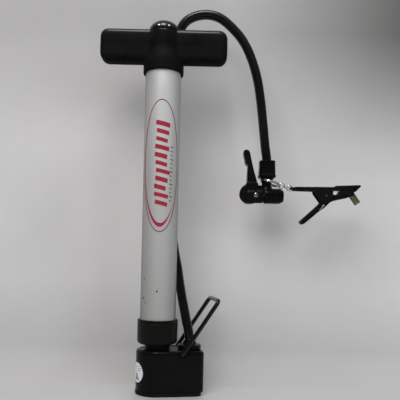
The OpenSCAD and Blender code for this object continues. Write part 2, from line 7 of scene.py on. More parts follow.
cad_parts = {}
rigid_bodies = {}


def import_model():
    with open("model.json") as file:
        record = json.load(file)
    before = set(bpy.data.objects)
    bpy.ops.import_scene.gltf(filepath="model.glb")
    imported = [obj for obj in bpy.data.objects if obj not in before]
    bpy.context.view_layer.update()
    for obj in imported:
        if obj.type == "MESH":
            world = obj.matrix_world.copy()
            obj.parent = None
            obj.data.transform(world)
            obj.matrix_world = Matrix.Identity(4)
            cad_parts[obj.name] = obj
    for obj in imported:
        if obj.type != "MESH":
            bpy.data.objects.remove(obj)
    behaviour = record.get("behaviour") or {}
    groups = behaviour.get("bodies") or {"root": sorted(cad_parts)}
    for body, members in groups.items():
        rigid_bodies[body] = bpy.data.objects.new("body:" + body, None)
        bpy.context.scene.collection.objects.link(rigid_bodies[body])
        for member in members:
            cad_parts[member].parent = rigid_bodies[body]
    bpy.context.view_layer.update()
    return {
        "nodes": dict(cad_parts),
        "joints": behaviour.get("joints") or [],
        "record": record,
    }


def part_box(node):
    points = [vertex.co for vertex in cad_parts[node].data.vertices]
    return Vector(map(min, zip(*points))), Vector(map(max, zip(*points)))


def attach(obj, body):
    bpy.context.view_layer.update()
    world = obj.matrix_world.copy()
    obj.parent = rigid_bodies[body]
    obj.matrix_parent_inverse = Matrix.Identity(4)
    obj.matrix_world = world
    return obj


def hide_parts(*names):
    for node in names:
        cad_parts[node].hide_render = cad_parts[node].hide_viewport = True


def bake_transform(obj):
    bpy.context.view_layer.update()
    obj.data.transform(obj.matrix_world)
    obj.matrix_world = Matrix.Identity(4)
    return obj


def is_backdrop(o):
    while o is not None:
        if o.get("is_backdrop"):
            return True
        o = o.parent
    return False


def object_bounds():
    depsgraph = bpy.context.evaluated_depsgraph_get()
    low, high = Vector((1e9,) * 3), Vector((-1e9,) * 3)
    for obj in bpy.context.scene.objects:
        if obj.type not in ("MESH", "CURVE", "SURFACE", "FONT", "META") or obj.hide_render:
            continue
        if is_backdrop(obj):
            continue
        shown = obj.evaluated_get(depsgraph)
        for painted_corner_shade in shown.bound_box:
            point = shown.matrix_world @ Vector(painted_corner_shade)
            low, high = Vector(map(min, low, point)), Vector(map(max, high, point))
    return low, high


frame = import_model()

MM = 0.001
REC = frame["record"]
JOINT = {j["name"]: j for j in frame["joints"]}
MOUNT = {m["name"]: m for m in REC["mounts"]}


def jpos(name):
    """A joint's place in millimetres."""
    return Vector(JOINT[name]["pos_m"]) * 1000


def nbox(name):
    lo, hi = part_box(name)
    return lo * 1000, hi * 1000


# ---------------------------------------------------------------- materials
def new_mat(name):
    m = bpy.data.materials.new(name)
    m.use_nodes = True
    nt = m.node_tree
    nt.nodes.clear()
    out = nt.nodes.new("ShaderNodeOutputMaterial")
    bsdf = nt.nodes.new("ShaderNodeBsdfPrincipled")
    nt.links.new(bsdf.outputs[0], out.inputs[0])
    return m, nt, bsdf


def node(nt, kind, **inputs):
    n = nt.nodes.new(kind)
    for k, v in inputs.items():
        key = k.replace("_", " ")
        if key in n.inputs:
            n.inputs[key].default_value = v
        else:
            setattr(n, k, v)
    return n


def noise(nt, scale, detail=3.0, rough=0.55, stretch=None):
    tc = nt.nodes.new("ShaderNodeTexCoord")
    mp = nt.nodes.new("ShaderNodeMapping")
    if stretch:
        mp.inputs["Scale"].default_value = stretch
    nt.links.new(tc.outputs["Object"], mp.inputs[0])
    n = nt.nodes.new("ShaderNodeTexNoise")
    n.inputs["Scale"].default_value = scale
    n.inputs["Detail"].default_value = detail
    n.inputs["Roughness"].default_value = rough
    nt.links.new(mp.outputs[0], n.inputs["Vector"])
    return n.outputs[0]


def remap(nt, src, a, b, lo, hi):
    n = nt.nodes.new("ShaderNodeMapRange")
    n.inputs["From Min"].default_value = a
    n.inputs["From Max"].default_value = b
    n.inputs["To Min"].default_value = lo
    n.inputs["To Max"].default_value = hi
    nt.links.new(src, n.inputs["Value"])
    return n.outputs[0]


def mix_rgb(nt, fac, a, b):
    n = nt.nodes.new("ShaderNodeMix")
    n.data_type = "RGBA"
    if isinstance(fac, float):
        n.inputs[0].default_value = fac
    else:
        nt.links.new(fac, n.inputs[0])
    for sock, v in ((n.inputs[6], a), (n.inputs[7], b)):
        if isinstance(v, tuple):
            sock.default_value = (*v, 1)
        else:
            nt.links.new(v, sock)
    return n.outputs[2]


def math_node(nt, op, a, b=None, clamp=False):
    n = nt.nodes.new("ShaderNodeMath")
    n.operation = op
    n.use_clamp = clamp
    for i, v in enumerate((a, b)):
        if v is None:
            continue
        if isinstance(v, (int, float)):
            n.inputs[i].default_value = v
        else:
            nt.links.new(v, n.inputs[i])
    return n.outputs[0]


def bump(nt, bsdf, src, strength, dist):
    b = nt.nodes.new("ShaderNodeBump")
    b.inputs["Strength"].default_value = strength
    b.inputs["Distance"].default_value = dist
    nt.links.new(src, b.inputs["Height"])
    nt.links.new(b.outputs[0], bsdf.inputs["Normal"])


def plastic(name, dark, light, rough, grain=900, grain_amt=0.12, smudge=0.5, coat=0.0, spec=0.12):
    """Moulded plastic: broad tone drift, smudged sheen, fine moulded grain and a little dust."""
    m, nt, b = new_mat(name)
    broad = noise(nt, 38, 4)
    fine = noise(nt, grain, 2)
    dust = noise(nt, 260, 6, 0.7)
    dark, light = tuple(0.36 * c for c in dark), tuple(0.4 * c for c in light)
    col = mix_rgb(nt, remap(nt, broad, 0.3, 0.7, 0, 1), dark, light)
    d = remap(nt, dust, 0.62, 0.8, 0, 0.05)
    col = mix_rgb(nt, d, col, (0.16, 0.155, 0.15))
    nt.links.new(col, b.inputs["Base Color"])
    r = remap(nt, broad, 0.25, 0.75, rough * (1 - 0.18 * smudge), rough * (1 + 0.25 * smudge))
    r = math_node(nt, "ADD", r, math_node(nt, "MULTIPLY", d, 0.9))
    nt.links.new(r, b.inputs["Roughness"])
    b.inputs["Specular IOR Level"].default_value = spec
    b.inputs["Coat Weight"].default_value = coat
    b.inputs["Coat Roughness"].default_value = 0.12
    bump(nt, b, fine, grain_amt, 0.00008)
    return m


def metal(name, dark, light, rough, streak=(1, 1, 1), scale=420, amt=0.1, metallic=1.0):
    m, nt, b = new_mat(name)
    s = noise(nt, scale, 5, 0.6, streak)
    broad = noise(nt, 60, 3)
    col = mix_rgb(nt, remap(nt, s, 0.3, 0.7, 0, 1), dark, light)
    col = mix_rgb(nt, remap(nt, broad, 0.55, 0.75, 0, 0.35), col, tuple(0.55 * c for c in dark))
    nt.links.new(col, b.inputs["Base Color"])
    b.inputs["Metallic"].default_value = metallic
    nt.links.new(remap(nt, s, 0.2, 0.8, rough * 0.75, rough * 1.35), b.inputs["Roughness"])
    bump(nt, b, s, amt, 0.00006)
    return m


def silver_paint():
    """Metallic lacquer: fine flake, slow tone drift, faint lengthwise rubs, small dark nicks near the foot, painted
    shade darkening the lower tube and painted shade darkening it towards its silhouette edges.
    """
    m, nt, b = new_mat("silver_paint")
    flake = noise(nt, 5200, 1)
    drift = noise(nt, 16, 3, 0.5, (1, 1, 0.5))
    rub = noise(nt, 260, 3, 0.6, (1, 1, 0.07))
    col = mix_rgb(nt, remap(nt, drift, 0.3, 0.7, 0, 1), (0.66, 0.665, 0.65), (0.73, 0.73, 0.72))
    col = mix_rgb(nt, remap(nt, flake, 0.35, 0.7, 0, 0.22), col, (0.62, 0.63, 0.62))
    tc = nt.nodes.new("ShaderNodeTexCoord")
    vor = nt.nodes.new("ShaderNodeTexVoronoi")
    vor.inputs["Scale"].default_value = 95
    nt.links.new(tc.outputs["Object"], vor.inputs["Vector"])
    sep = nt.nodes.new("ShaderNodeSeparateXYZ")
    nt.links.new(tc.outputs["Object"], sep.inputs[0])
    pick = noise(nt, 70, 2)
    low = remap(nt, sep.outputs[2], 0.15, 0.085, 0.0, 1.0)
    nick = math_node(nt, "MULTIPLY", math_node(nt, "LESS_THAN", vor.outputs["Distance"], 0.075), math_node(nt, "GREATER_THAN", pick, 0.56))
    nick = math_node(nt, "MULTIPLY", nick, low, True)
    col = mix_rgb(nt, nick, col, (0.035, 0.035, 0.035))
    # painted shade: the colour darkens towards the bottom of the tube, standing in for dimmer light low down
    painted_lower_shade = remap(nt, sep.outputs[2], 0.21, 0.07, 0.0, 0.42)
    col = mix_rgb(nt, painted_lower_shade, col, (0.13, 0.135, 0.12))
    # painted shade: the colour darkens as the surface turns away from the camera, standing in for a bright highlight
    # stripe down the tube's centre
    lw = nt.nodes.new("ShaderNodeLayerWeight")
    lw.inputs[0].default_value = 0.5
    painted_edge_shade = math_node(nt, "POWER", lw.outputs["Facing"], 1.05)
    col = mix_rgb(nt, math_node(nt, "MULTIPLY", painted_edge_shade, 0.95, True), col, (0.10, 0.10, 0.095))
    nt.links.new(col, b.inputs["Base Color"])
    b.inputs["Metallic"].default_value = 0.35
    nt.links.new(remap(nt, rub, 0.25, 0.75, 0.34, 0.47), b.inputs["Roughness"])
    b.inputs["Coat Weight"].default_value = 0.25
    b.inputs["Coat Roughness"].default_value = 0.25
    bump(nt, b, flake, 0.05, 0.00003)
    return m


def ink(name, a, bcol, rough=0.42):
    """Printed ink: slightly uneven density with pinholes."""
    m, nt, b = new_mat(name)
    dens = noise(nt, 700, 4, 0.6)
    col = mix_rgb(nt, remap(nt, dens, 0.3, 0.7, 0, 1), a, bcol)
    col = mix_rgb(nt, remap(nt, noise(nt, 2600, 2), 0.66, 0.8, 0, 0.35), col, (0.4, 0.38, 0.38))
    nt.links.new(col, b.inputs["Base Color"])
    nt.links.new(remap(nt, dens, 0.2, 0.8, rough * 0.85, rough * 1.2), b.inputs["Roughness"])
    bump(nt, b, dens, 0.04, 0.00002)
    return m


M_HANDLE = plastic("handle_plastic", (0.0105, 0.011, 0.011), (0.018, 0.0187, 0.0187), 0.28, 1300, 0.10)
_b = [n for n in M_HANDLE.node_tree.nodes if n.bl_idname == "ShaderNodeBsdfPrincipled"][0]
_c = M_HANDLE.node_tree.nodes.new("ShaderNodeTexCoord")
_s = M_HANDLE.node_tree.nodes.new("ShaderNodeSeparateXYZ")
M_HANDLE.node_tree.links.new(_c.outputs["Object"], _s.inputs[0])
M_HANDLE.node_tree.links.new(remap(M_HANDLE.node_tree, _s.outputs[2], 0.291, 0.300, 0.035, 0.2), _b.inputs["Specular IOR Level"])
_r = _b.inputs["Roughness"].links[0].from_socket
M_HANDLE.node_tree.links.new(math_node(M_HANDLE.node_tree, "MAXIMUM", _r, remap(M_HANDLE.node_tree, _s.outputs[2], 0.288, 0.295, 0.62, 0.0)), _b.inputs["Roughness"])
M_DOME = plastic("dome_plastic", (0.008, 0.011, 0.0105), (0.013, 0.016, 0.0155), 0.2, 1500, 0.05, 0.4, 0.3)
M_BASE = plastic("base_plastic", (0.007, 0.0072, 0.0068), (0.013, 0.0128, 0.012), 0.2, 1100, 0.08, spec=0.09)
M_COLLAR = plastic("collar_plastic", (0.009, 0.009, 0.0075), (0.016, 0.0155, 0.013), 0.34, 1000, 0.12)
M_HEAD = plastic("head_plastic", (0.008, 0.008, 0.0085), (0.014, 0.014, 0.0145), 0.27, 1400, 0.08, spec=0.06)
M_LEVER = plastic("lever_plastic", (0.010, 0.0085, 0.010), (0.018, 0.0155, 0.0175), 0.3, 1400, 0.08, spec=0.08)
M_CLIP = plastic("clip_plastic", (0.012, 0.0105, 0.012), (0.022, 0.019, 0.021), 0.34, 1200, 0.12, spec=0.045)
M_RUBBER = plastic("hose_rubber", (0.0085, 0.0095, 0.009), (0.0135, 0.015, 0.014), 0.25, 1600, 0.08, 0.7, spec=0.26)
M_SEAL = plastic("seal_rubber", (0.01, 0.01, 0.01), (0.018, 0.018, 0.018), 0.6, 900, 0.2)
M_WIRE = plastic("loop_paint", (0.008, 0.007, 0.007), (0.02, 0.017, 0.017), 0.24, 700, 0.14, 0.8, 0.4)
M_SILVER = silver_paint()
M_RED = ink("print_crimson", (0.30, 0.009, 0.03), (0.36, 0.013, 0.04))
M_REDSOFT = ink("print_crimson_thin", (0.17, 0.012, 0.028), (0.22, 0.02, 0.04))
M_DARK = ink("print_dark", (0.06, 0.04, 0.045), (0.10, 0.06, 0.065))
M_DARK2 = ink("chip_dark", (0.012, 0.012, 0.012), (0.03, 0.03, 0.028), 0.6)
M_LABEL = ink("label_film", (0.68, 0.68, 0.72), (0.8, 0.8, 0.83), 0.3)
M_LABEL2 = ink("label_tint", (0.16, 0.15, 0.22), (0.24, 0.23, 0.32), 0.35)
M_CHROME = metal("chrome_wire", (0.52, 0.53, 0.55), (0.78, 0.79, 0.8), 0.14, (1, 1, 1), 900, 0.05)
M_DARKPIN = metal("dark_pin", (0.05, 0.05, 0.05), (0.09, 0.09, 0.09), 0.4, (1, 1, 1), 600, 0.1)
M_STEEL = metal("plain_steel", (0.36, 0.37, 0.38), (0.52, 0.53, 0.54), 0.32, (1, 1, 0.15), 500, 0.1)
M_ROD = metal("rod_steel", (0.5, 0.51, 0.52), (0.68, 0.69, 0.7), 0.18, (1, 1, 12), 500, 0.05)
M_BRASS = metal("turned_brass", (0.19, 0.18, 0.09), (0.31, 0.295, 0.165), 0.36, (1, 1, 1), 700, 0.12, 0.85)
M_BRASS2 = metal("valve_brass", (0.42, 0.33, 0.13), (0.6, 0.48, 0.2), 0.3, (1, 1, 1), 500, 0.1)


# ---------------------------------------------------------------- mesh tools
def make(name, verts, faces, mat, sharp=38, smooth=True):
    me = bpy.data.meshes.new(name)
    me.from_pydata([tuple(c * MM for c in v) for v in verts], [], faces)
    me.validate()
    bm = bmesh.new()
    bm.from_mesh(me)
    bmesh.ops.remove_doubles(bm, verts=bm.verts, dist=1e-7)
    bmesh.ops.recalc_face_normals(bm, faces=bm.faces)
    bm.to_mesh(me)
    bm.free()
    ob = bpy.data.objects.new(name, me)
    bpy.context.scene.collection.objects.link(ob)
    me.materials.append(mat)
    shade(ob, sharp)
    return ob


def shade(ob, sharp=38):
    me = ob.data
    me.polygons.foreach_set("use_smooth", [True] * len(me.polygons))
    me.set_sharp_from_angle(angle=math.radians(sharp))
    me.update()


def frame_of(axis):
    z = Vector(axis).normalized()
    x = z.cross(Vector((0, 1, 0)) if abs(z.y) < 0.9 else Vector((1, 0, 0))).normalized()
    return x, z.cross(x), z


def lathe(name, prof, mat, origin=(0, 0, 0), axis=(0, 0, 1), n=96, sharp=38, radius=None):
    """Turns (radius, height) points about an axis. Radius may vary with angle through radius(k, r)."""
    x, y, z = frame_of(axis)
    o = Vector(origin)
    verts, rows = [], []
    for r, h in prof:
        if r < 1e-6:
            rows.append([len(verts)])
            verts.append(o + z * h)
        else:
            row = []
            for k in range(n):
                a = 2 * math.pi * k / n
                rr = radius(a, r, h) if radius else r
                row.append(len(verts))
                verts.append(o + z * h + x * (rr * math.cos(a)) + y * (rr * math.sin(a)))
            rows.append(row)
    faces = []
    closed = len(rows[0]) > 1 and len(rows[-1]) > 1
    count = len(rows) if closed else len(rows) - 1
    for i in range(count):
        a, b = rows[i], rows[(i + 1) % len(rows)]
        for k in range(n):
            k2 = (k + 1) % n
            if len(a) == 1 and len(b) == 1:
                continue
            if len(a) == 1:
                faces.append((a[0], b[k], b[k2]))
            elif len(b) == 1:
                faces.append((a[k], a[k2], b[0]))
            else:
                faces.append((a[k], a[k2], b[k2], b[k]))
    return make(name, verts, faces, mat, sharp)


def arc(cx, cy, r, a0, a1, n=6):
    return [(cx + r * math.cos(math.radians(a0 + (a1 - a0) * i / n)), cy + r * math.sin(math.radians(a0 + (a1 - a0) * i / n))) for i in range(n + 1)]


def stack(name, outline, levels, mat, place, sharp=38):
    """Closed solid from one outline drawn at several (inset, height) levels. place(u, v, h) gives the 3-D point."""
    verts, faces, n = [], [], None
    for inset, h in levels:
        pts = outline(inset)
        n = len(pts)
        verts += [place(u, v, h) for u, v in pts]
    for i in range(len(levels) - 1):
        for k in range(n):
            a, b = i * n + k, i * n + (k + 1) % n
            faces.append((a, b, b + n, a + n))
    faces.append(tuple(range(n)))
    last = (len(levels) - 1) * n
    faces.append(tuple(last + k for k in range(n)))
    return make(name, verts, faces, mat, sharp)


def sweep(name, pts, radius, mat, n=20, closed=False, sharp=60, flat=1.0):
    """Round bar along points, with parallel frames. radius is a number or a function of the point's index."""
    pts = [Vector(p) for p in pts]
    m = len(pts)
    tan = []
    for i in range(m):
        a = pts[(i - 1) % m] if closed else pts[max(i - 1, 0)]
        b = pts[(i + 1) % m] if closed else pts[min(i + 1, m - 1)]
        tan.append((b - a).normalized())
    u = tan[0].cross(Vector((0.03, 1, 0.02))).normalized()
    verts, faces = [], []
    frames = []
    for i in range(m):
        if i:
            ax = tan[i - 1].cross(tan[i])
            if ax.length > 1e-9:
                u = Matrix.Rotation(tan[i - 1].angle(tan[i]), 3, ax.normalized()) @ u
            u = (u - tan[i] * u.dot(tan[i])).normalized()
        frames.append((u.copy(), tan[i].cross(u)))
    for i in range(m):
        r = radius(i) if callable(radius) else radius
        uu, vv = frames[i]
        for k in range(n):
            a = 2 * math.pi * k / n
            verts.append(pts[i] + uu * (r * math.cos(a)) + vv * (r * flat * math.sin(a)))
    for i in range(m if closed else m - 1):
        for k in range(n):
            a, b = i * n + k, i * n + (k + 1) % n
            c, d = ((i + 1) % m) * n + (k + 1) % n, ((i + 1) % m) * n + k
            faces.append((a, b, c, d))
    if not closed:
        faces.append(tuple(range(n)))
        faces.append(tuple((m - 1) * n + k for k in range(n)))
    return make(name, verts, faces, mat, sharp)


def prism(name, outline, y0, y1, mat, bevel=0.4, segs=3, sharp=38, swap=None, ang=28):
    """Outline in X and Z, from y0 to y1, with its sharp edges rounded."""
    n = len(outline)
    verts = [(x, y0, z) for x, z in outline] + [(x, y1, z) for x, z in outline]
    faces = [(k, (k + 1) % n, n + (k + 1) % n, n + k) for k in range(n)]
    faces += [tuple(range(n)), tuple(n + k for k in range(n))]
    ob = make(name, verts, faces, mat, sharp)
    if bevel:
        round_edges(ob, bevel, segs, ang, sharp)
    return ob


def round_edges(ob, width, segs=3, ang=28, sharp=38):
    bm = bmesh.new()
    bm.from_mesh(ob.data)
    edges = [e for e in bm.edges if len(e.link_faces) == 2 and e.calc_face_angle(0) > math.radians(ang)]
    bmesh.ops.bevel(bm, geom=edges, offset=width * MM, segments=segs, profile=0.5, affect="EDGES", clamp_overlap=True)
    bmesh.ops.recalc_face_normals(bm, faces=bm.faces)
    bm.to_mesh(ob.data)
    bm.free()
    shade(ob, sharp)


def cut(ob, cutters, op="DIFFERENCE", sharp=38):
    for c in cutters if isinstance(cutters, (list, tuple)) else [cutters]:
        md = ob.modifiers.new("cut", "BOOLEAN")
        md.operation, md.solver, md.object = op, "EXACT", c
        bpy.context.view_layer.objects.active = ob
        bpy.ops.object.modifier_apply(modifier="cut")
        bpy.data.objects.remove(c)
    shade(ob, sharp)
    return ob


def remesh(ob, voxel, smooth=4, sharp=180):
    md = ob.modifiers.new("r", "REMESH")
    md.mode, md.voxel_size = "VOXEL", voxel * MM
    bpy.context.view_layer.objects.active = ob
    bpy.ops.object.modifier_apply(modifier="r")
    if smooth:
        md = ob.modifiers.new("s", "SMOOTH")
        md.iterations, md.factor = smooth, 0.5
        bpy.ops.object.modifier_apply(modifier="s")
    shade(ob, sharp)
    return ob


def join(name, obs, sharp=38):
    for o in bpy.context.scene.objects:
        o.select_set(False)
    for o in obs:
        o.select_set(True)
    bpy.context.view_layer.objects.active = obs[0]
    bpy.ops.object.join()
    obs[0].name = name
    obs[0].data.name = name
    shade(obs[0], sharp)
    return obs[0]


def rod(name, a, b, r, mat, n=48):
    a, b = Vector(a), Vector(b)
    L = (b - a).length
    return lathe(name, [(0, 0), (r, 0), (r, L), (0, L)], mat, a, b - a, n)


def give(ob, body, slot, *nodes):
    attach(ob, body)
    if nodes:
        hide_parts(*nodes)
    return ob


# ---------------------------------------------------------------- anchors from the frame
ax = JOINT["foot_loop_fold"]["axis"]
YAW = math.atan2(-ax[0], ax[1])
CY, SY = math.cos(YAW), math.sin(YAW)


def bl(x, y, z):
    """Base's own x, y, z to the shared frame."""
    return (x * CY - y * SY, x * SY + y * CY, z)


tube_lo, tube_hi = nbox("barrel_tube")
BR = (tube_hi.x - tube_lo.x) / 2
plate_lo, plate_hi = nbox("bottom_plate")
plug_lo, plug_hi = nbox("passage_plug")
block_lo, block_hi = nbox("base_block")
fit_lo, fit_hi = nbox("hose_fitting")
col_lo, col_hi = nbox("lower_collar")
hand_lo, hand_hi = nbox("handle_body")
dome_lo, dome_hi = nbox("handle_dome_cap")
PORT = Vector(((fit_lo.x + fit_hi.x) / 2, (fit_lo.y + fit_hi.y) / 2, 0))
PORT_X = math.hypot(PORT.x, PORT.y)
PIN = jpos("lever_fold")
CP = jpos("clip_jaw")
HY = PIN.y
HZ = PIN.z
nut_lo, nut_hi = nbox("hose_nut")
NX = (nut_lo.x + nut_hi.x) / 2
bar_lo, bar_hi = nbox("head_body")
cap_lo, cap_hi = nbox("gland_cap")
BASE_R = 17.5
BASE_L = 38.0
BLOCK_TOP = 37.0


# ---------------------------------------------------------------- base
def d_outline(r, length, cr, inset):
    """Round end about the axis, straight sides, rounded corners at the flat end."""
    pts = arc(0, 0, r - inset, 90, 270, 56)
    c = max(cr - inset, 0.25)
    cx, cyy = length - inset - c, r - inset - c
    pts += arc(cx, -cyy, c, -90, 0, 12)
    pts += arc(cx, cyy, c, 0, 90, 12)
    return pts


levels = [(0.7, 3.05), (0.3, 3.15), (0.03, 3.45), (0, 4.0), (0, 12), (0, 24), (0, 34.5)]
levels += [(2.5 - 2.5 * math.cos(math.radians(a)), 34.5 + 2.5 * math.sin(math.radians(a))) for a in (12, 25, 38, 52, 65, 78, 90)]
levels += [(2.9, BLOCK_TOP), (3.3, BLOCK_TOP - 0.08), (3.6, BLOCK_TOP - 0.4), (4.0, BLOCK_TOP - 0.5), (4.6, BLOCK_TOP - 0.5)]
base = stack("base_shell", lambda i: d_outline(BASE_R, BASE_L, 5, i), levels, M_BASE, bl, 40)
neck = lathe("neck", [(0, 35), (11.9, 35), (11.9, 36.6), (11.2, 37.0), (10.7, 37.8), (10.5, 38.6), (10.5, 41.6), (9.0, 41.6), (9.0, 52.9), (4.6, 52.9), (4.6, 49), (0, 49)], M_BASE)
pivots = []
for s in (-1, 1):
    p0 = Vector(bl(18.6, s * 15.75, 34.1))
    d = Vector((-SY * s, CY * s, 0))
    pivots.append(lathe("boss", [(0, 0), (3.0, 0), (3.0, 1.62), (2.7, 1.85), (2.1, 1.85), (1.9, 1.5), (0, 1.5)], M_BASE, p0, d, 48))
base = join("base_shell", [base, neck] + pivots, 40)
give(base, "base", "black_plastic", "base_block")

plate = stack("base_foot", lambda i: d_outline(17.8, 36.1, 5, i), [(0.5, 0), (0.12, 0.12), (0, 0.45), (0, 1.0), (0, 1.45), (0.18, 1.55), (0.18, 1.65), (0, 1.75), (0, 2.6), (0.15, 2.85), (0.7, 2.95), (0.7, 3.1)], M_SEAL, bl, 40)
cut(plate, [rod("h", bl(x, 0, -1), bl(x, 0, 6), 3.2, M_SEAL) for x in (-6, PORT_X)])
give(plate, "base", "black_rubber", "bottom_plate")


def on_tube(r, phi, z):
    return (r * math.cos(phi), r * math.sin(phi), z)


def patch(name, rows, mat, R, face, h0=0.0, h1=0.05):
    """Thin curved printed patch. rows are equal-length lists of (arc length, height); face is its facing angle."""
    n, m = len(rows), len(rows[0])
    verts = []
    for h in (h1, h0):
        for row in rows:
            verts += [on_tube(R + h, math.radians(face) + s / R, z) for s, z in row]
    q = n * m
    faces = []
    for i in range(n - 1):
        for k in range(m - 1):
            a = i * m + k
            faces.append((a, a + 1, a + m + 1, a + m))
            faces.append((q + a, q + a + m, q + a + m + 1, q + a + 1))
    edge = [k for k in range(m)] + [i * m + m - 1 for i in range(1, n)] + [(n - 1) * m + k for k in range(m - 2, -1, -1)] + [i * m for i in range(n - 2, 0, -1)]
    for k in range(len(edge)):
        a, b = edge[k], edge[(k + 1) % len(edge)]
        faces.append((a, b, q + b, q + a))
    return make(name, verts, faces, mat, 30)


def oval_rows(cs, cz, a, b, n=16):
    rows = []
    for i in range(n + 1):
        t = math.pi * i / n
        z = cz + b * math.cos(t)
        w = max(a * math.sin(t), 0.01)
        rows.append([(cs - w + 2 * w * k / 14, z) for k in range(15)])
    return rows


FACE = 199 + math.degrees(YAW)
lab = [patch("label_oval", oval_rows(0, 18.3, 8, 8.3, 24), M_LABEL, BASE_R, FACE, 0.01, 0.15)]
lab3 = [patch("label_core", oval_rows(0, 18.3, 7.1, 7.4, 20), M_LABEL, BASE_R, FACE, 0.13, 0.165)]
lab2 = []
blob = []
for i in range(9):
    v = i / 8
    blob.append([(-2.6 + 0.9 * v + (6.4 - 4.6 * v) * k / 8, 12.3 + 5.6 * v) for k in range(9)])
lab2.append(patch("label_blob", blob, M_LABEL2, BASE_R, FACE, 0.15, 0.2))
for z, w0, w1 in ((19.6, 0.4, 5.6), (21.2, 1.0, 6.2), (22.9, -1.2, 5.0)):
    lab2.append(patch("label_line", [[(w0 + (w1 - w0) * k / 10, z + h + 0.10 * k) for k in range(11)] for h in (0, 0.42)], M_LABEL2, BASE_R, FACE, 0.15, 0.2))
give(join("label_white", lab + lab3), "base", "label_white", "base_label")
give(join("label_marks", lab2), "base", "label_white")

# ---------------------------------------------------------------- collar, barrel, print
collar = lathe("lower_collar_v", [(9.1, 41.43), (13.6, 41.43)] + arc(14, 44.43, 3.0, -90, 0, 10) + [(17, 58.9), (16.86, 59.05), (16.86, 59.45), (17, 59.6), (17, 61.1), (16.8, 61.65), (16.3, 61.98), (15.6, 62), (15.25, 61.75), (15.04, 61.2), (15.04, 45.35), (9.1, 45.35)], M_COLLAR, n=128)
give(collar, "base", "black_plastic", "lower_collar")
barrel = lathe("barrel_tube_v", [(14, 46.95), (15, 46.95), (15, 62), (15, 100), (15, 150), (15, 200), (15, 250), (15, 275.2), (14.85, 275.75), (14.5, 276), (14.15, 275.8), (14, 275.3)], M_SILVER, n=160)
give(barrel, "base", "silver_paint", "barrel_tube")

DFACE = -90 + 2.4
DZ = 189.0
ell = lambda a, b, t: (a * math.cos(t), DZ + b * math.sin(t))
N = 160
line = []
for a0, a1 in ((0, N // 2), (N // 2, N)):
    rows = [[ell(16.5 - w, 54.4 - w, 2 * math.pi * k / N) for k in range(a0, a1 + 1)] for w in (-0.05, 0.38, 0.82)]
    line.append(patch("oval_line", rows, M_REDSOFT, BR, DFACE))
give(join("print_oval", line), "base", "silver_paint")
rows = [[], [], [], []]
for k in range(91):
    u = k / 90
    t = math.radians(128 + 200 * u)
    g = 0.95 + 3.3 * max(0.0, -math.sin(t)) ** 2
    th = 3.4 * ((u / 0.70) ** 1.15 if u < 0.70 else ((1 - u) / 0.30) ** 0.9)
    th = max(th, 0.06)
    for j in range(4):
        rows[j].append(ell(16.5 - g - th * 0.55 * j / 3, 54.4 - g - th * j / 3, t))
give(patch("print_crescent", rows, M_RED, BR, DFACE), "base", "silver_paint")
bars = []
for k in range(11):
    z = 224.5 - 6.5 * k
    w = 10.6 + 1.3 * math.sin(2.1 * k + 1.2)
    s0 = -4.7 + 0.7 * math.sin(1.3 * k)
    hgt = 3.5 + 0.3 * math.cos(1.7 * k)
    rows = []
    for i in range(5):
        v = i / 4
        rows.append([(s0 + w * q / 10 + 0.35 * v, z + hgt * (v - 0.5) - 2.4 * q / 10) for q in range(11)])
    bars.append(patch("bar", rows, M_RED, BR, DFACE))
give(join("print_bars", bars), "base", "silver_paint")
ticks = []
for k in range(14):
    z = 204.5 - 3.4 * k
    w = 1.7 if k % 3 else 2.6
    rows = [[(8.3 - 0.05 * k + w * q / 3, z + 1.0 * j / 2 - 0.25 * q) for q in range(4)] for j in range(3)]
    ticks.append(patch("tick", rows, M_DARK, BR, DFACE))
give(join("print_ticks", ticks), "base", "silver_paint")

# small chips in the lacquer near the foot
chips = []
for deg, z, w, h in ((-90.8, 86.0, 1.2, 1.9), (-139, 80.6, 1.5, 1.0), (-131, 76.3, 1.1, 0.9), (-87.6, 88.4, 0.55, 0.6)):
    rows = []
    for i in range(6):
        v = i / 5
        half = 0.5 * w * (0.35 + math.sin(math.pi * v) * (0.65 + 0.25 * math.sin(5 * v)))
        rows.append([(-half + 2 * half * k / 5 + 0.2 * v, z + h * (v - 0.5)) for k in range(6)])
    chips.append(patch("chip", rows, M_DARK2, BR, deg, 0.0, 0.03))
rub = [[(-0.9 + 2.2 * k / 5 + 0.15 * i, 83.2 + 0.28 * i * (1.2 - 0.1 * k)) for k in range(6)] for i in range(5)]
chips.append(patch("rub", rub, ink("rubbed_lacquer", (0.44, 0.44, 0.38), (0.52, 0.52, 0.46), 0.5), BR, -89.4, 0.0, 0.02))
give(join("lacquer_chips", chips), "base", "silver_paint")

# ---------------------------------------------------------------- hose fitting
fitting = lathe("hose_fitting_v", [(0, 30.1), (4.9, 30.1), (4.9, 36.45), (9.35, 36.45), (9.75, 36.75), (9.85, 37.2), (9.85, 39.4), (9.65, 40.1), (9.2, 40.4), (6.9, 40.45), (6.1, 40.7), (5.65, 41.4), (5.5, 42.6), (5.3, 43.5), (2.45, 43.5), (2.45, 51.9), (0, 51.9)], M_BASE, PORT, n=96)
give(fitting, "base", "black_plastic", "hose_fitting")

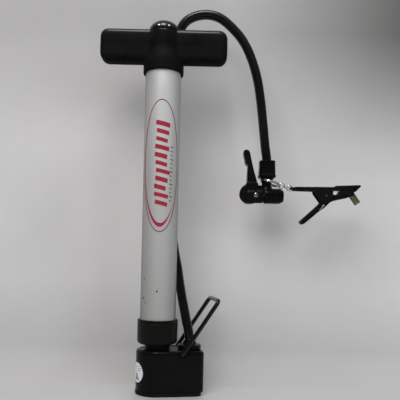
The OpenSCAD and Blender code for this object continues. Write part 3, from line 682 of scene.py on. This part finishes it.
# ---------------------------------------------------------------- handle
AB, AT = 277.6, 304.8
AM = (AB + AT) / 2
HX = (hand_hi.x - hand_lo.x) / 2
cr = 7.0
outl = arc(HX - cr, AT - cr, cr, 90, 0, 10) + arc(HX - cr, AB + cr, cr, 0, -90, 10) + arc(-HX + cr, AB + cr, cr, -90, -180, 10) + arc(-HX + cr, AT - cr, cr, 180, 90, 10)
arms = prism("arms", outl, -8, 8, M_HANDLE, 0)
bm = bmesh.new()
bm.from_mesh(arms.data)
rim = [e for e in bm.edges if len(e.link_faces) == 2 and abs(e.link_faces[0].normal.y - e.link_faces[1].normal.y) > 0.6]
bmesh.ops.bevel(bm, geom=rim, offset=4.6 * MM, segments=7, profile=0.5, affect="EDGES", clamp_overlap=True)
bm.to_mesh(arms.data)
bm.free()
hub = lathe("hub", [(0, 272), (13.2, 272), (13.2, 302.5), (0, 302.5)], M_HANDLE, n=96)
flare = [(13.2 + 3.8 * 0.5 * (1 + math.cos(math.radians(180 * k / 12))), 275.6 + 13.5 * k / 12) for k in range(13)]
skirt = lathe("skirt", [(0, 267.8), (16.6, 267.8), (16.95, 268.1), (17, 268.6)] + flare + [(0, 289.1)], M_HANDLE, n=96)
handle = arms
for tool in (hub, skirt):
    cut(handle, tool, "UNION")
remesh(handle, 0.55, 16)
tools = [
    rod("c", (0, 0, 260), (0, 0, 279.9), 15.5, M_HANDLE, 96),
    rod("c", (0, 0, 270), (0, 0, 282.92), 8.02, M_HANDLE, 64),
    rod("c", (0, 0, 270), (0, 0, 290.02), 4.02, M_HANDLE, 64),
    rod("c", (0, 0, 270), (0, 0, 310), 3.03, M_HANDLE, 48),
    rod("c", (0, 0, 292), (0, 0, 320), 8.0, M_HANDLE, 64),
    rod("c", (0, 0, 302.46), (0, 0, 320), 13.32, M_HANDLE, 96),
]
for x in (-32.9, 34.9):
    tools.append(prism("c", [(x - 0.4, 270), (x + 0.4, 270), (x + 0.4, 280.6), (x - 0.4, 280.6)], -20, -5.6, M_HANDLE, 0))
for t in tools:
    cut(handle, t)
shade(handle, 50)
handle.name = "handle_grip"
give(handle, "handle", "black_plastic", "handle_body")
dome = lathe("dome_cap_v", [(0, 298.55), (7.9, 298.55), (7.9, 302.5), (12.9, 302.5), (13.12, 302.62), (13.2, 302.9)] + [(13.2 * math.cos(math.radians(a)) ** 0.92, 302.9 + 9.8 * math.sin(math.radians(a))) for a in range(5, 90, 5)] + [(0, 312.7)], M_DOME, n=128, sharp=50)
give(dome, "handle", "black_gloss", "handle_dome_cap")

# ---------------------------------------------------------------- foot loop
fl = jpos("foot_loop_fold")
LX = math.hypot(fl.x, fl.y)
LA = math.radians(56.4)
HALF, LEN, CR, BB = 19.6, 54.0, 4.5, 2.2


def loop_pt(u, v):
    return bl(LX + u * math.cos(LA), v, fl.z + u * math.sin(LA))


side = [(0, 11)] + [(0, 11 + (HALF - BB - 11) * k / 4) for k in range(1, 5)]
side += [(BB - BB * math.cos(math.radians(a)), HALF - BB + BB * math.sin(math.radians(a))) for a in range(10, 91, 10)]
side += [(BB + (LEN - CR - BB) * k / 14, HALF) for k in range(1, 15)]
side += [(LEN - CR + CR * math.sin(math.radians(a)), HALF - CR + CR * math.cos(math.radians(a))) for a in range(9, 91, 9)]
path = side + [(LEN, (HALF - CR) * (1 - k / 10)) for k in range(1, 10)]
full = path + [(LEN, 0)] + [(u, -v) for u, v in reversed(path)]
loop = sweep("foot_loop_wire", [loop_pt(u, v) for u, v in full], 1.8, M_WIRE, 28, sharp=50)
give(loop, "foot_loop", "black_paint", "foot_loop")

# ---------------------------------------------------------------- hose
px, py = PORT.x, PORT.y
ctl = [
    (px + 0.4, py, 34), (px, py, 43.7), (26.2, 5.2, 51), (23.2, 7.3, 63.8), (20.2, 10.2, 77.4),
    (17.5, 13.3, 91), (15.1, 16.3, 105), (12.1, 18.8, 119), (9.6, 20.2, 136), (8, 20.7, 165),
    (7.4, 20.7, 205), (7.4, 20.7, 250), (8.6, 20.8, 285), (11.2, 20.8, 310), (15.6, 20.7, 321.6),
    (24.6, 20.6, 327.8), (36, 20.5, 329.8), (47, 20.2, 327), (57.2, 19.7, 319.2),
    (67.6, 18.9, 307), (75.6, 18, 291), (81.3, 16.8, 271.8), (84.6, 15.7, 252),
    (86.9, 14.5, 232), (88.9, 13.2, 213), (90.6, 12.55, 200.5), (NX, HY, 187.4), (NX, HY, 175)]


def spline(p, n):
    out = []
    for i in range(1, len(p) - 2):
        q = [Vector(v) for v in p[i - 1:i + 3]]
        for k in range(n):
            t = k / n
            out.append(0.5 * ((2 * q[1]) + (q[2] - q[0]) * t + (2 * q[0] - 5 * q[1] + 4 * q[2] - q[3]) * t * t + (3 * q[1] - q[0] - 3 * q[2] + q[3]) * t ** 3))
    out.append(Vector(p[-2]))
    return out


hp = spline(ctl, 9)
seam = 9 * 19
hose_a = sweep("hose_run_a", hp[:seam + 1], 4.0, M_RUBBER, 40)
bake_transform(hose_a)
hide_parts("hose_lower", "hose_middle")
hose_b = sweep("hose_run_b", hp[seam:], 4.0, M_RUBBER, 40)
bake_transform(hose_b)
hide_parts("hose_upper")

# ---------------------------------------------------------------- valve head
HO = Vector((0, HY, HZ))
XA = (1, 0, 0)
shell = lathe("body", [(0, 88.52), (6.2, 88.52), (6.5, 88.62), (6.6, 88.85), (6.6, 92.6), (6.42, 92.75), (6.42, 93.15), (6.6, 93.3), (6.6, 100.6), (6.45, 100.98), (5.1, 100.98), (5.1, 90.4), (0, 90.4)], M_HEAD, HO, XA, 96)
stem = lathe("stem", [(0, 5.6), (4.3, 5.6), (4.3, 10.6), (4.45, 11.8), (4.9, 13.2), (5.6, 14.6), (5.6, 15.4), (2.4, 15.4), (2.4, 24), (0, 24)], M_HEAD, (NX, HY, HZ), n=72)
foot = lathe("fillet", [(0, 4.6), (6.0, 4.6), (5.2, 6.6), (4.6, 7.6), (4.3, 8.8), (0, 8.8)], M_HEAD, (NX, HY, HZ), n=72)
tongue = prism("tongue", [(88.9, HZ + 3.3), (PIN.x, HZ + 3.3)] + arc(PIN.x, HZ, 3.3, 100, 260, 12) + [(PIN.x, HZ - 3.3), (88.9, HZ - 3.3)], HY - 2.5, HY + 2.5, M_HEAD, 0.35)
saddle = prism("saddle", [(83.35, HZ + 7.4), (85, HZ + 6.8), (87, HZ + 5.2), (88.6, HZ + 3.6), (90.5, HZ + 3.6), (90.5, 176.9), (84.2, 178.5), (83.35, 178.2)], HY - 3.1, HY + 3.1, M_HEAD, 0.3)
head = join("head_body_v", [shell, stem, foot, tongue, saddle], 40)
give(head, "head", "black_gloss", "head_body")
gcap = lathe("gland_cap_v", [(4.1, 98.05), (5.05, 98.05), (5.05, 101.03), (6.3, 101.03), (6.6, 101.3), (6.6, 101.95), (6.5, 102.15), (5.25, 105.05), (5.0, 105.4), (4.6, 105.5), (4.25, 105.35), (4.1, 105.0)], M_HEAD, HO, XA, 96)
give(gcap, "head", "black_gloss", "gland_cap")
gland = lathe("gland_v", [(4.5, 93.3), (4.98, 93.3), (4.98, 97.9), (4.5, 97.9), (4.15, 97.2), (4.5, 96.4), (4.15, 95.6), (4.5, 94.8), (4.2, 94.0)], M_SEAL, HO, XA, 72)
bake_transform(gland)
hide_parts("rubber_gland")


def square_outline(w, c):
    def f(i):
        hw, r = w - i, max(c - i * 0.5, 0.5)
        pts = []
        for cx, cyy, a in ((1, 1, 0), (-1, 1, 90), (-1, -1, 180), (1, -1, 270)):
            pts += arc(cx * (hw - r), cyy * (hw - r), r, a, a + 90, 8)
        return pts
    return f


nz = nut_lo.z
nut = stack("hose_nut_v", square_outline(7.5, 3.9), [(3.0, nz + 0.55), (1.2, nz + 0.55), (0.45, nz + 0.8), (0.05, nz + 1.3), (0, nz + 2.0), (0.05, nz + 2.6), (0.35, nz + 2.95), (0.42, nz + 3.4), (0.5, nz + 6), (0.7, nz + 11), (0.8, nz + 13.6), (0.78, nz + 13.7), (0.62, nz + 13.8), (0.62, nz + 14.5), (0.8, nz + 14.95), (1.2, nz + 15.2), (2.2, nz + 15.2), (2.7, nz + 14.8), (2.9, nz + 14.2)], M_HEAD, lambda u, v, h: (NX + u, HY + v, h), 34)
give(nut, "head", "black_plastic", "hose_nut")

# ---------------------------------------------------------------- cam lever
LV = Vector((0, HY, 169.5))
hood = lathe("hood", [(0, 71.9), (4.2, 71.9), (5.8, 72.4), (6.7, 73.5), (7.0, 75.0), (7.0, 87.65), (6.85, 87.85), (0, 87.85)], M_LEVER, LV, XA, 72)
disc = lathe("disc", [(0, -4.6), (6.4, -4.6)] + arc(6.4, -2.2, 2.4, -90, 0, 6) + arc(6.4, 2.2, 2.4, 0, 90, 6) + [(0, 4.6)], M_LEVER, (76.2, HY, 170.8), (0, 1, 0), 72)
arm = [(73.7, 172), (73.6, 180), (73.8, 190), (74, 195.6), (72.4, 196.2), (71.1, 202), (69.9, 206.8), (70.6, 208.3), (72.2, 208.8), (74.6, 207.9), (75.5, 206.4), (76.5, 202.2), (77.9, 196), (79.5, 190), (81.1, 185.2), (82.1, 181.6), (82.4, 178.4), (82.4, 172)]
thumb = prism("thumb", arm, HY - 5.2, HY + 5.2, M_LEVER, 0.9, 4, ang=40)
root = prism("root", [(72.6, 172), (72.9, 180.4), (82.9, 180.4), (83.4, 177.4), (83.4, 172)], HY - 5.8, HY + 5.8, M_LEVER, 0.7, 3)
lever = hood
for tool in (disc, root, thumb):
    cut(lever, tool, "UNION")
for k in range(5):
    z = 197.6 + 1.9 * k
    x = 72.4 + (69.95 - 72.4) * (z - 196.2) / (206.8 - 196.2)
    cut(lever, sweep("rib", [(x + 0.1, HY - 3.9, z), (x + 0.1, HY + 3.9, z)], 0.55, M_LEVER, 14), "UNION")
remesh(lever, 0.28, 3)
tools = [
    prism("c", [(66, HZ - 3.6), (96, HZ - 3.6), (96, HZ + 3.6), (66, HZ + 3.6)], HY - 2.6, HY + 2.6, M_LEVER, 0),
    prism("c", [(80, 158), (96, 158), (96, HZ), (80, HZ)], HY - 3.5, HY + 3.5, M_LEVER, 0),
    prism("c", [(85, HZ - 1), (96, HZ - 1), (96, 178), (85, 178)], HY - 3.5, HY + 3.5, M_LEVER, 0),
    prism("c", [(60, 150), (100, 150), (100, HZ - 7.05), (60, HZ - 7.05)], HY - 12, HY + 12, M_LEVER, 0),
    rod("c", (PIN.x, HY - 9, HZ), (PIN.x, HY - 5.9, HZ), 3.3, M_LEVER, 48),
    rod("c", (PIN.x, HY + 5.9, HZ), (PIN.x, HY + 9, HZ), 3.3, M_LEVER, 48),
    prism("c", [(60, 172.6), (60, 172.1), (74.6, 172.1), (74.6, 172.6)], HY - 4.7, HY + 4.7, M_LEVER, 0),
]
for t in tools:
    cut(lever, t)
shade(lever, 50)
lever.name = "cam_lever_v"
give(lever, "lever", "black_gloss", "cam_lever")
washers = []
for s in (-1, 1):
    pts = []
    for k in range(32):
        r = 3.15 if k % 2 else 2.55
        pts.append((PIN.x + r * math.cos(math.pi * k / 16), HZ + r * math.sin(math.pi * k / 16)))
    y = HY + s * 5.9
    washers.append(prism("w", pts, y, y + s * 0.35, M_DARKPIN, 0))
washers.append(lathe("pin", [(0, -6.7), (0.9, -6.68), (1.5, -6.5), (1.9, -6.2), (2.0, -5.95), (1.5, -5.8), (1.5, 5.8), (2.0, 5.95), (1.9, 6.2), (1.5, 6.5), (0.9, 6.68), (0, 6.7)], M_STEEL, (PIN.x, HY, HZ), (0, 1, 0), 48))
give(join("lever_pin_v", washers, 40), "head", "steel", "lever_pin")

# ---------------------------------------------------------------- neck ring and chain
TILT = math.radians(16)
RC = Vector((94.3, HY, 180.9))
ux, uz = Vector((math.cos(TILT), 0, -math.sin(TILT))), Vector((math.sin(TILT), 0, math.cos(TILT)))
pts = []
for k in range(0, 183):
    t = k / 96
    j = min(max((t - 0.90) / 0.10, 0), 1)
    j = j * j * (3 - 2 * j)
    a = 2 * math.pi * t + 1.9
    pts.append(RC + ux * (9 * math.cos(a)) + Vector((0, 9 * math.sin(a), 0)) + uz * (0.56 - 1.12 * j))
ring = sweep("neck_ring_v", pts, 0.54, M_CHROME, 16)
give(ring, "neck_ring", "chrome", "neck_ring")


def link(name, c, e1, e2, a, b, node_name, r=0.43):
    e1, e2 = Vector(e1), Vector(e2)
    pts = [Vector(c) + e1 * (a * math.cos(2 * math.pi * k / 56)) + e2 * (b * math.sin(2 * math.pi * k / 56)) for k in range(56)]
    ob = sweep(name, pts, r, M_CHROME, 14, closed=True)
    return give(ob, "chain", "chrome", node_name)


for i in (1, 2, 3):
    lo, hi = nbox("chain_link_%d" % i)
    c = (lo + hi) / 2
    la = math.radians(14)
    d = (math.cos(la), 0, -math.sin(la))
    if i == 2:
        link("chain_link_2_v", c, d, (0, 1, 0), 2.45, 2.2, "chain_link_2")
    else:
        link("chain_link_%d_v" % i, c, d, (math.sin(la), 0, math.cos(la)), 2.55 if i == 1 else 2.5, 2.55 if i == 1 else 2.3, "chain_link_%d" % i, 0.38 if i == 1 else 0.43)

# ---------------------------------------------------------------- clip
W2 = 4.5
arm_up = prism("up", [(113.8, 174.7), (134, 174.5), (148.9, 174.9), (149.5, 175.5), (166.0, 175.3), (167.2, 174.3), (171.9, 179.0), (171.9, 179.8), (171.2, 180.3), (150.3, 179.2), (148.8, 178.1), (134, 177.9), (115.2, 177.5), (114.0, 177.1)], HY - W2, HY + W2, M_CLIP, 0.5, 3, ang=30)
lug = prism("lug", [(110.9, 175.8), (114.6, 175.8), (114.6, 177.35), (111.4, 177.35), (110.9, 176.9)], HY - 3, HY + 3, M_CLIP, 0.35, 3)
up = arm_up
cut(up, lug, "UNION")
for s in (-1, 1):
    cheek = prism("ck", [(131.4, 175.8), (131.8, 172.8), (134.2, 169.4), (136.6, 166.2), (138.2, 164.0), (143.4, 163.3), (145.6, 165.6), (148, 168.6), (148, 175.8)], HY + s * 3.4, HY + s * (W2 + 0.12), M_CLIP, 0.32, 3)
    cut(up, cheek, "UNION")
    cut(up, lathe("ckb", [(0, 0), (3.0, 0), (2.8, 0.35), (0, 0.35)], M_CLIP, (CP.x, HY + s * (W2 + 0.05), CP.z), (0, s, 0), 48), "UNION")
for t in (
    rod("c", (113.35, HY, 170), (113.35, HY, 182), 1.15, M_CLIP, 32),
    rod("c", (113.35, HY, 170), (113.35, HY, 175.8), 2.7, M_CLIP, 32),
    rod("c", (CP.x, HY - 9, CP.z), (CP.x, HY + 9, CP.z), 1.27, M_CLIP, 32),
    rod("c", (155.2, HY - 9, 177.3), (155.2, HY + 9, 177.3), 0.85, M_CLIP, 32),
    rod("c", (169.2, HY, 170), (169.2, HY, 190), 1.7, M_CLIP, 48),
    prism("c", [(163.9, 175.9), (167.4, 175.9), (167.4, 178.3), (163.9, 178.3)], HY - 6, HY - 3.5, M_CLIP, 0),
    prism("c", [(116.5, 170), (131.5, 170), (131.5, 175.6), (116.5, 175.6)], HY - 3.2, HY + 3.2, M_CLIP, 0),
):
    cut(up, t)
for k in range(6):
    x = 116.4 + 2.1 * k
    cut(up, sweep("rib", [(x, HY - 3.6, 177.5), (x, HY + 3.6, 177.5)], 0.42, M_CLIP, 12), "UNION")
up.name = "clip_upper_v"
give(up, "clip", "black_plastic", "clip_upper_arm")

hubo = prism("hub", [(139.4, 168), (136.4, 163.4), (129.8, 157.1), (132.3, 153.4), (136.6, 156.9), (141.5, 160.5), (145.5, 164.6), (149.9, 167), (149.9, 171), (146.2, 173.4), (143, 174.1), (139.2, 172)], HY - 3.2, HY + 3.2, M_CLIP, 0.35, 3)
low = hubo
jaw = prism("jaw", [(150.2, 166.9), (161.2, 169.4), (165.6, 171.4), (166.1, 174.2), (165.4, 175.0), (153.9, 175.0), (152.3, 172), (150.2, 171.1)], HY - W2, HY + W2, M_CLIP, 0.5, 3)
link_web = prism("jw", [(148.6, 166.8), (152, 167.3), (152, 171.5), (148.6, 171.6)], HY - 3.2, HY + 3.2, M_CLIP, 0)
finger = prism("fg", [(131.6, 158.8), (120.5, 148.4), (120.2, 147.4), (120.9, 146.2), (122.2, 145.4), (123.2, 145.6), (125.2, 147.1), (133.4, 154.2)], HY - W2, HY + W2, M_CLIP, 0.45, 3)
noz_o = Vector(MOUNT["nozzle_stem"]["pos_m"]) * 1000
noz_a = Vector(MOUNT["nozzle_stem"]["axis"]).normalized()
noz_o = noz_o - noz_a * 5.02
boss = lathe("bo", [(0, -1.6), (2.7, -1.6), (2.7, 0.4), (2.45, 0.75), (0, 0.75)], M_CLIP, noz_o, noz_a, 48)
for t in (jaw, link_web, finger, boss):
    cut(low, t, "UNION")
for t in (
    rod("c", (CP.x, HY - 1.4, CP.z), (CP.x, HY + 1.4, CP.z), 3.5, M_CLIP, 48),
    prism("c", [(130, 161.8), (144, 161.8), (144, 178), (130, 178)], HY - 1.4, HY + 1.4, M_CLIP, 0),
    rod("c", (CP.x, HY - 9, CP.z), (CP.x, HY + 9, CP.z), 1.3, M_CLIP, 32),
    prism("c", [(153.5, 168.9), (160.3, 170.4), (162.4, 171.6), (155.2, 171.6)], HY - 6, HY - 3.9, M_CLIP, 0),
):
    cut(low, t)
low.name = "clip_lower_v"
give(low, "clip_lower", "black_plastic", "clip_lower_arm")
pin = lathe("clip_pin_v", [(0, -5.0), (0.9, -4.97), (1.25, -4.75), (1.25, 4.75), (0.9, 4.97), (0, 5.0)], M_DARKPIN, CP, (0, 1, 0), 40)
give(pin, "clip", "steel", "clip_pin")
sp = [(-8, 1, 3.4), (-4, 1, 3)]
for i in range(0, 28 * 3 + 1):
    a = math.radians(84 - i * 10)
    sp.append((2.3 * math.cos(a), 0.95 - 1.9 * i / 84, 2.3 * math.sin(a)))
sp += [(0.6, -0.97, -3.2), (-1.2, -0.97, -5.4), (-3, -0.97, -7.6)]
spring = sweep("clip_spring_v", [CP + Vector(p) for p in sp], 0.35, M_CHROME, 12)
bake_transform(spring)
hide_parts("clip_spring")
leg = sweep("spring_leg", [(141.0, HY - 2.9, 163.0), (140.5, HY - 3.5, 162.4), (137.4, HY - 3.55, 159.0), (136.9, HY - 2.9, 158.4)], 0.42, M_CHROME, 12)
give(leg, "clip_lower", "chrome")
prof = [(0, -2.6), (1.98, -2.6), (1.98, 0.8), (2.7, 0.82), (3.0, 1.1)]
h = 1.3
for k in range(6):
    prof += [(3.0, h), (2.72, h + 0.18), (2.72, h + 0.42), (3.0, h + 0.6)]
    h += 1.1
prof += [(3.0, 8.3), (2.75, 8.9), (2.4, 9.22), (1.15, 9.22), (1.0, 9.0), (1.0, 2.0), (0, 2.0)]
nozzle = lathe("brass_nozzle_v", prof, M_BRASS, noz_o, noz_a, 64)
give(nozzle, "clip_lower", "brass", "brass_nozzle")

# ---------------------------------------------------------------- check valve spring
pts = []
for k in range(4 * 36 + 19):
    a = math.radians(10 * k)
    pts.append((2.45 * math.cos(a), 2.45 * math.sin(a), 34.4 + 9.9 * k / 162))
cspring = sweep("check_spring_v", pts, 0.3, M_CHROME, 12)
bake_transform(cspring)
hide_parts("check_spring")

# ---------------------------------------------------------------- carried nodes
KEEP = {
    "base_screws": M_STEEL, "passage_plug": M_BRASS2, "collar_lock_nut": M_STEEL, "barrel_gasket": M_SEAL,
    "top_guide_cap": M_COLLAR, "valve_seat": M_BRASS2, "check_ball": M_CHROME,
    "piston_cup": M_SEAL, "piston_plate_upper": M_STEEL, "piston_plate_lower": M_STEEL, "piston_rod": M_ROD,
    "piston_nut": M_STEEL, "rod_bumper": M_SEAL, "rod_top_nut": M_STEEL, "rod_top_washer": M_STEEL,
    "gland_plunger": M_DARKPIN,
}
for nname, mat in KEEP.items():
    ob = frame["nodes"][nname]
    if not ob.material_slots:
        ob.data.materials.append(mat)
    for s in ob.material_slots:
        s.material = mat

# ---------------------------------------------------------------- stage, light and camera
def studio_mat(name, col, rough):
    """Pale paper that the camera and light pass through from behind, with painted shade darkening its lower band, its
    upper band and its top-right corner.
    """
    m, nt, b = new_mat(name)
    out = [n for n in nt.nodes if n.bl_idname == "ShaderNodeOutputMaterial"][0]
    drift = noise(nt, 7.0, 4)
    base_col = mix_rgb(nt, remap(nt, drift, 0.3, 0.7, 0, 1), tuple(0.88 * c for c in col), col)
    tc = nt.nodes.new("ShaderNodeTexCoord")
    sep = nt.nodes.new("ShaderNodeSeparateXYZ")
    nt.links.new(tc.outputs["Object"], sep.inputs[0])
    # painted shadow: the paper colour darkens towards the top-right corner of the backdrop
    sx = remap(nt, sep.outputs[0], 0.06, 0.22, 0.0, 1.0)
    sz = remap(nt, sep.outputs[2], 0.19, 0.33, 0.0, 1.0)
    painted_corner_shade = math_node(nt, "MULTIPLY", math_node(nt, "MULTIPLY", sx, sz), 0.88)
    # painted shade: the paper colour darkens towards the floor and towards its top
    base_col = mix_rgb(nt, remap(nt, sep.outputs[2], 0.09, 0.0, 0.0, 0.48), base_col, (0.30, 0.295, 0.29))
    base_col = mix_rgb(nt, remap(nt, sep.outputs[2], 0.22, 0.33, 0.0, 0.56), base_col, (0.30, 0.295, 0.29))
    nt.links.new(mix_rgb(nt, painted_corner_shade, base_col, (0.09, 0.088, 0.084)), b.inputs["Base Color"])
    b.inputs["Roughness"].default_value = rough
    b.inputs["Specular IOR Level"].default_value = 0.1
    geo = nt.nodes.new("ShaderNodeNewGeometry")
    lp = nt.nodes.new("ShaderNodeLightPath")
    tr = nt.nodes.new("ShaderNodeBsdfTransparent")
    mx = nt.nodes.new("ShaderNodeMixShader")
    fac = math_node(nt, "MAXIMUM", geo.outputs["Backfacing"], lp.outputs["Is Shadow Ray"])
    nt.links.new(fac, mx.inputs[0])
    nt.links.new(b.outputs[0], mx.inputs[1])
    nt.links.new(tr.outputs[0], mx.inputs[2])
    nt.links.new(mx.outputs[0], out.inputs[0])
    return m


M_PAPER = studio_mat("paper", (0.66, 0.648, 0.642), 0.8)

def floor_mat():
    m, nt, b = new_mat("floor_paper")
    drift = noise(nt, 2.0, 3)
    nt.links.new(mix_rgb(nt, remap(nt, drift, 0.3, 0.7, 0, 1), (0.455, 0.45, 0.445), (0.485, 0.48, 0.475)), b.inputs["Base Color"])
    b.inputs["Roughness"].default_value = 0.75
    b.inputs["Specular IOR Level"].default_value = 0.15
    return m


floor = make("floor", [(-3000, -3000, 0), (3000, -3000, 0), (3000, 3000, 0), (-3000, 3000, 0)], [(0, 1, 2, 3)], floor_mat())
floor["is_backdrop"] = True
prof = [(22 + 30 * math.sin(math.radians(a)), 0.05 + 30 * (1 - math.cos(math.radians(a)))) for a in range(0, 91, 5)] + [(52, 400), (52, 900)]
verts, faces = [], []
for y, z in prof:
    verts += [(-900, y, z), (1000, y, z)]
for i in range(len(prof) - 1):
    a = 2 * i
    faces.append((a, a + 1, a + 3, a + 2))
me = bpy.data.meshes.new("backdrop")
me.from_pydata([tuple(c * MM for c in v) for v in verts], [], faces)
back = bpy.data.objects.new("backdrop", me)
bpy.context.scene.collection.objects.link(back)
me.materials.append(M_PAPER)
me.polygons.foreach_set("use_smooth", [True] * len(me.polygons))
me.update()
if me.polygons[len(me.polygons) - 1].normal.y > 0:
    me.flip_normals()
back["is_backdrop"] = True

WORLD_FILL = 0.42
world = bpy.data.worlds.new("studio")
bpy.context.scene.world = world
world.use_nodes = True
bg = world.node_tree.nodes["Background"]
bg.inputs[0].default_value = (0.92, 0.95, 1.0, 1)
wt = world.node_tree
lp = wt.nodes.new("ShaderNodeLightPath")
tc = wt.nodes.new("ShaderNodeTexCoord")
sp_ = wt.nodes.new("ShaderNodeSeparateXYZ")
wt.links.new(tc.outputs["Generated"], sp_.inputs[0])
# reflections see a dim room that brightens overhead, so dark plastic stays dark
up_ = remap(wt, sp_.outputs[2], 0.35, 0.95, 0.035, 0.42)
glossy = math_node(wt, "MULTIPLY", lp.outputs["Is Glossy Ray"], math_node(wt, "SUBTRACT", up_, WORLD_FILL))
wt.links.new(math_node(wt, "ADD", glossy, WORLD_FILL), bg.inputs[1])


def area(name, loc, target, size, power, col=(1, 1, 1), size_y=None):
    d = bpy.data.lights.new(name, "AREA")
    d.size = size
    if size_y:
        d.shape = "RECTANGLE"
        d.size_y = size_y
    d.energy = power
    d.color = col
    o = bpy.data.objects.new(name, d)
    bpy.context.scene.collection.objects.link(o)
    o.location = loc
    o.rotation_mode = "QUATERNION"
    o.rotation_quaternion = (Vector(target) - Vector(loc)).to_track_quat("-Z", "Y")
    return o


key = area("key", (-0.25, -0.75, 0.95), (0.03, 0, 0.16), 0.7, 8.0, (1, 0.985, 0.97))
fill = area("fill", (0.75, -0.6, 0.45), (0.03, 0, 0.16), 0.6, 2.5, (0.95, 0.97, 1))
for o in (key, fill):
    o.visible_glossy = False
sheen = area("sheen", (-0.05, -0.35, 0.95), (0.03, 0, 0.2), 0.30, 4.4)
dome_lit = bpy.data.collections.new("dome_lit")
dome_lit.objects.link(dome)
spots = [area("spot_a", (-0.27, -0.22, 0.78), (0, 0, 0.31), 0.06, 2.2), area("spot_b", (0.25, -0.24, 0.78), (0, 0, 0.31), 0.06, 2.2)]
for o in spots:
    o.light_linking.receiver_collection = dome_lit
for o in spots + [sheen]:
    o.visible_diffuse = False
area("back", (0.1, 0.9, 0.7), (0.03, 0, 0.16), 0.9, 5.0)

cam_d = bpy.data.cameras.new("camera")
cam = bpy.data.objects.new("camera", cam_d)
bpy.context.scene.collection.objects.link(cam)
cam_d.sensor_width = 36
cam_d.lens = 45.75
cam_d.clip_start, cam_d.clip_end = 0.01, 20
roll = math.radians(1.35)
right = Vector((math.cos(roll), 0, math.sin(roll)))
upv = Vector((-math.sin(roll), 0, math.cos(roll)))
backv = Vector((0, -1, 0))
rot = Matrix((right, upv, backv)).transposed()
cam.rotation_mode = "QUATERNION"
cam.rotation_quaternion = rot.to_quaternion()
cam.location = (0.0345, -0.430, 0.1142)
# the shift belongs to the main view only, so it is let go when the camera moves elsewhere
drv = cam_d.driver_add("shift_y").driver
drv.type = "SCRIPTED"
var = drv.variables.new()
var.name = "y"
var.type = "TRANSFORMS"
var.targets[0].id = cam
var.targets[0].transform_type = "LOC_Y"
var.targets[0].transform_space = "WORLD_SPACE"
drv.expression = "0.145 if y > -0.44 and y < -0.42 else 0"
bpy.context.scene.camera = cam
bpy.context.scene.view_settings.view_transform = "Standard"

bpy.context.view_layer.update()
lo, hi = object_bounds()
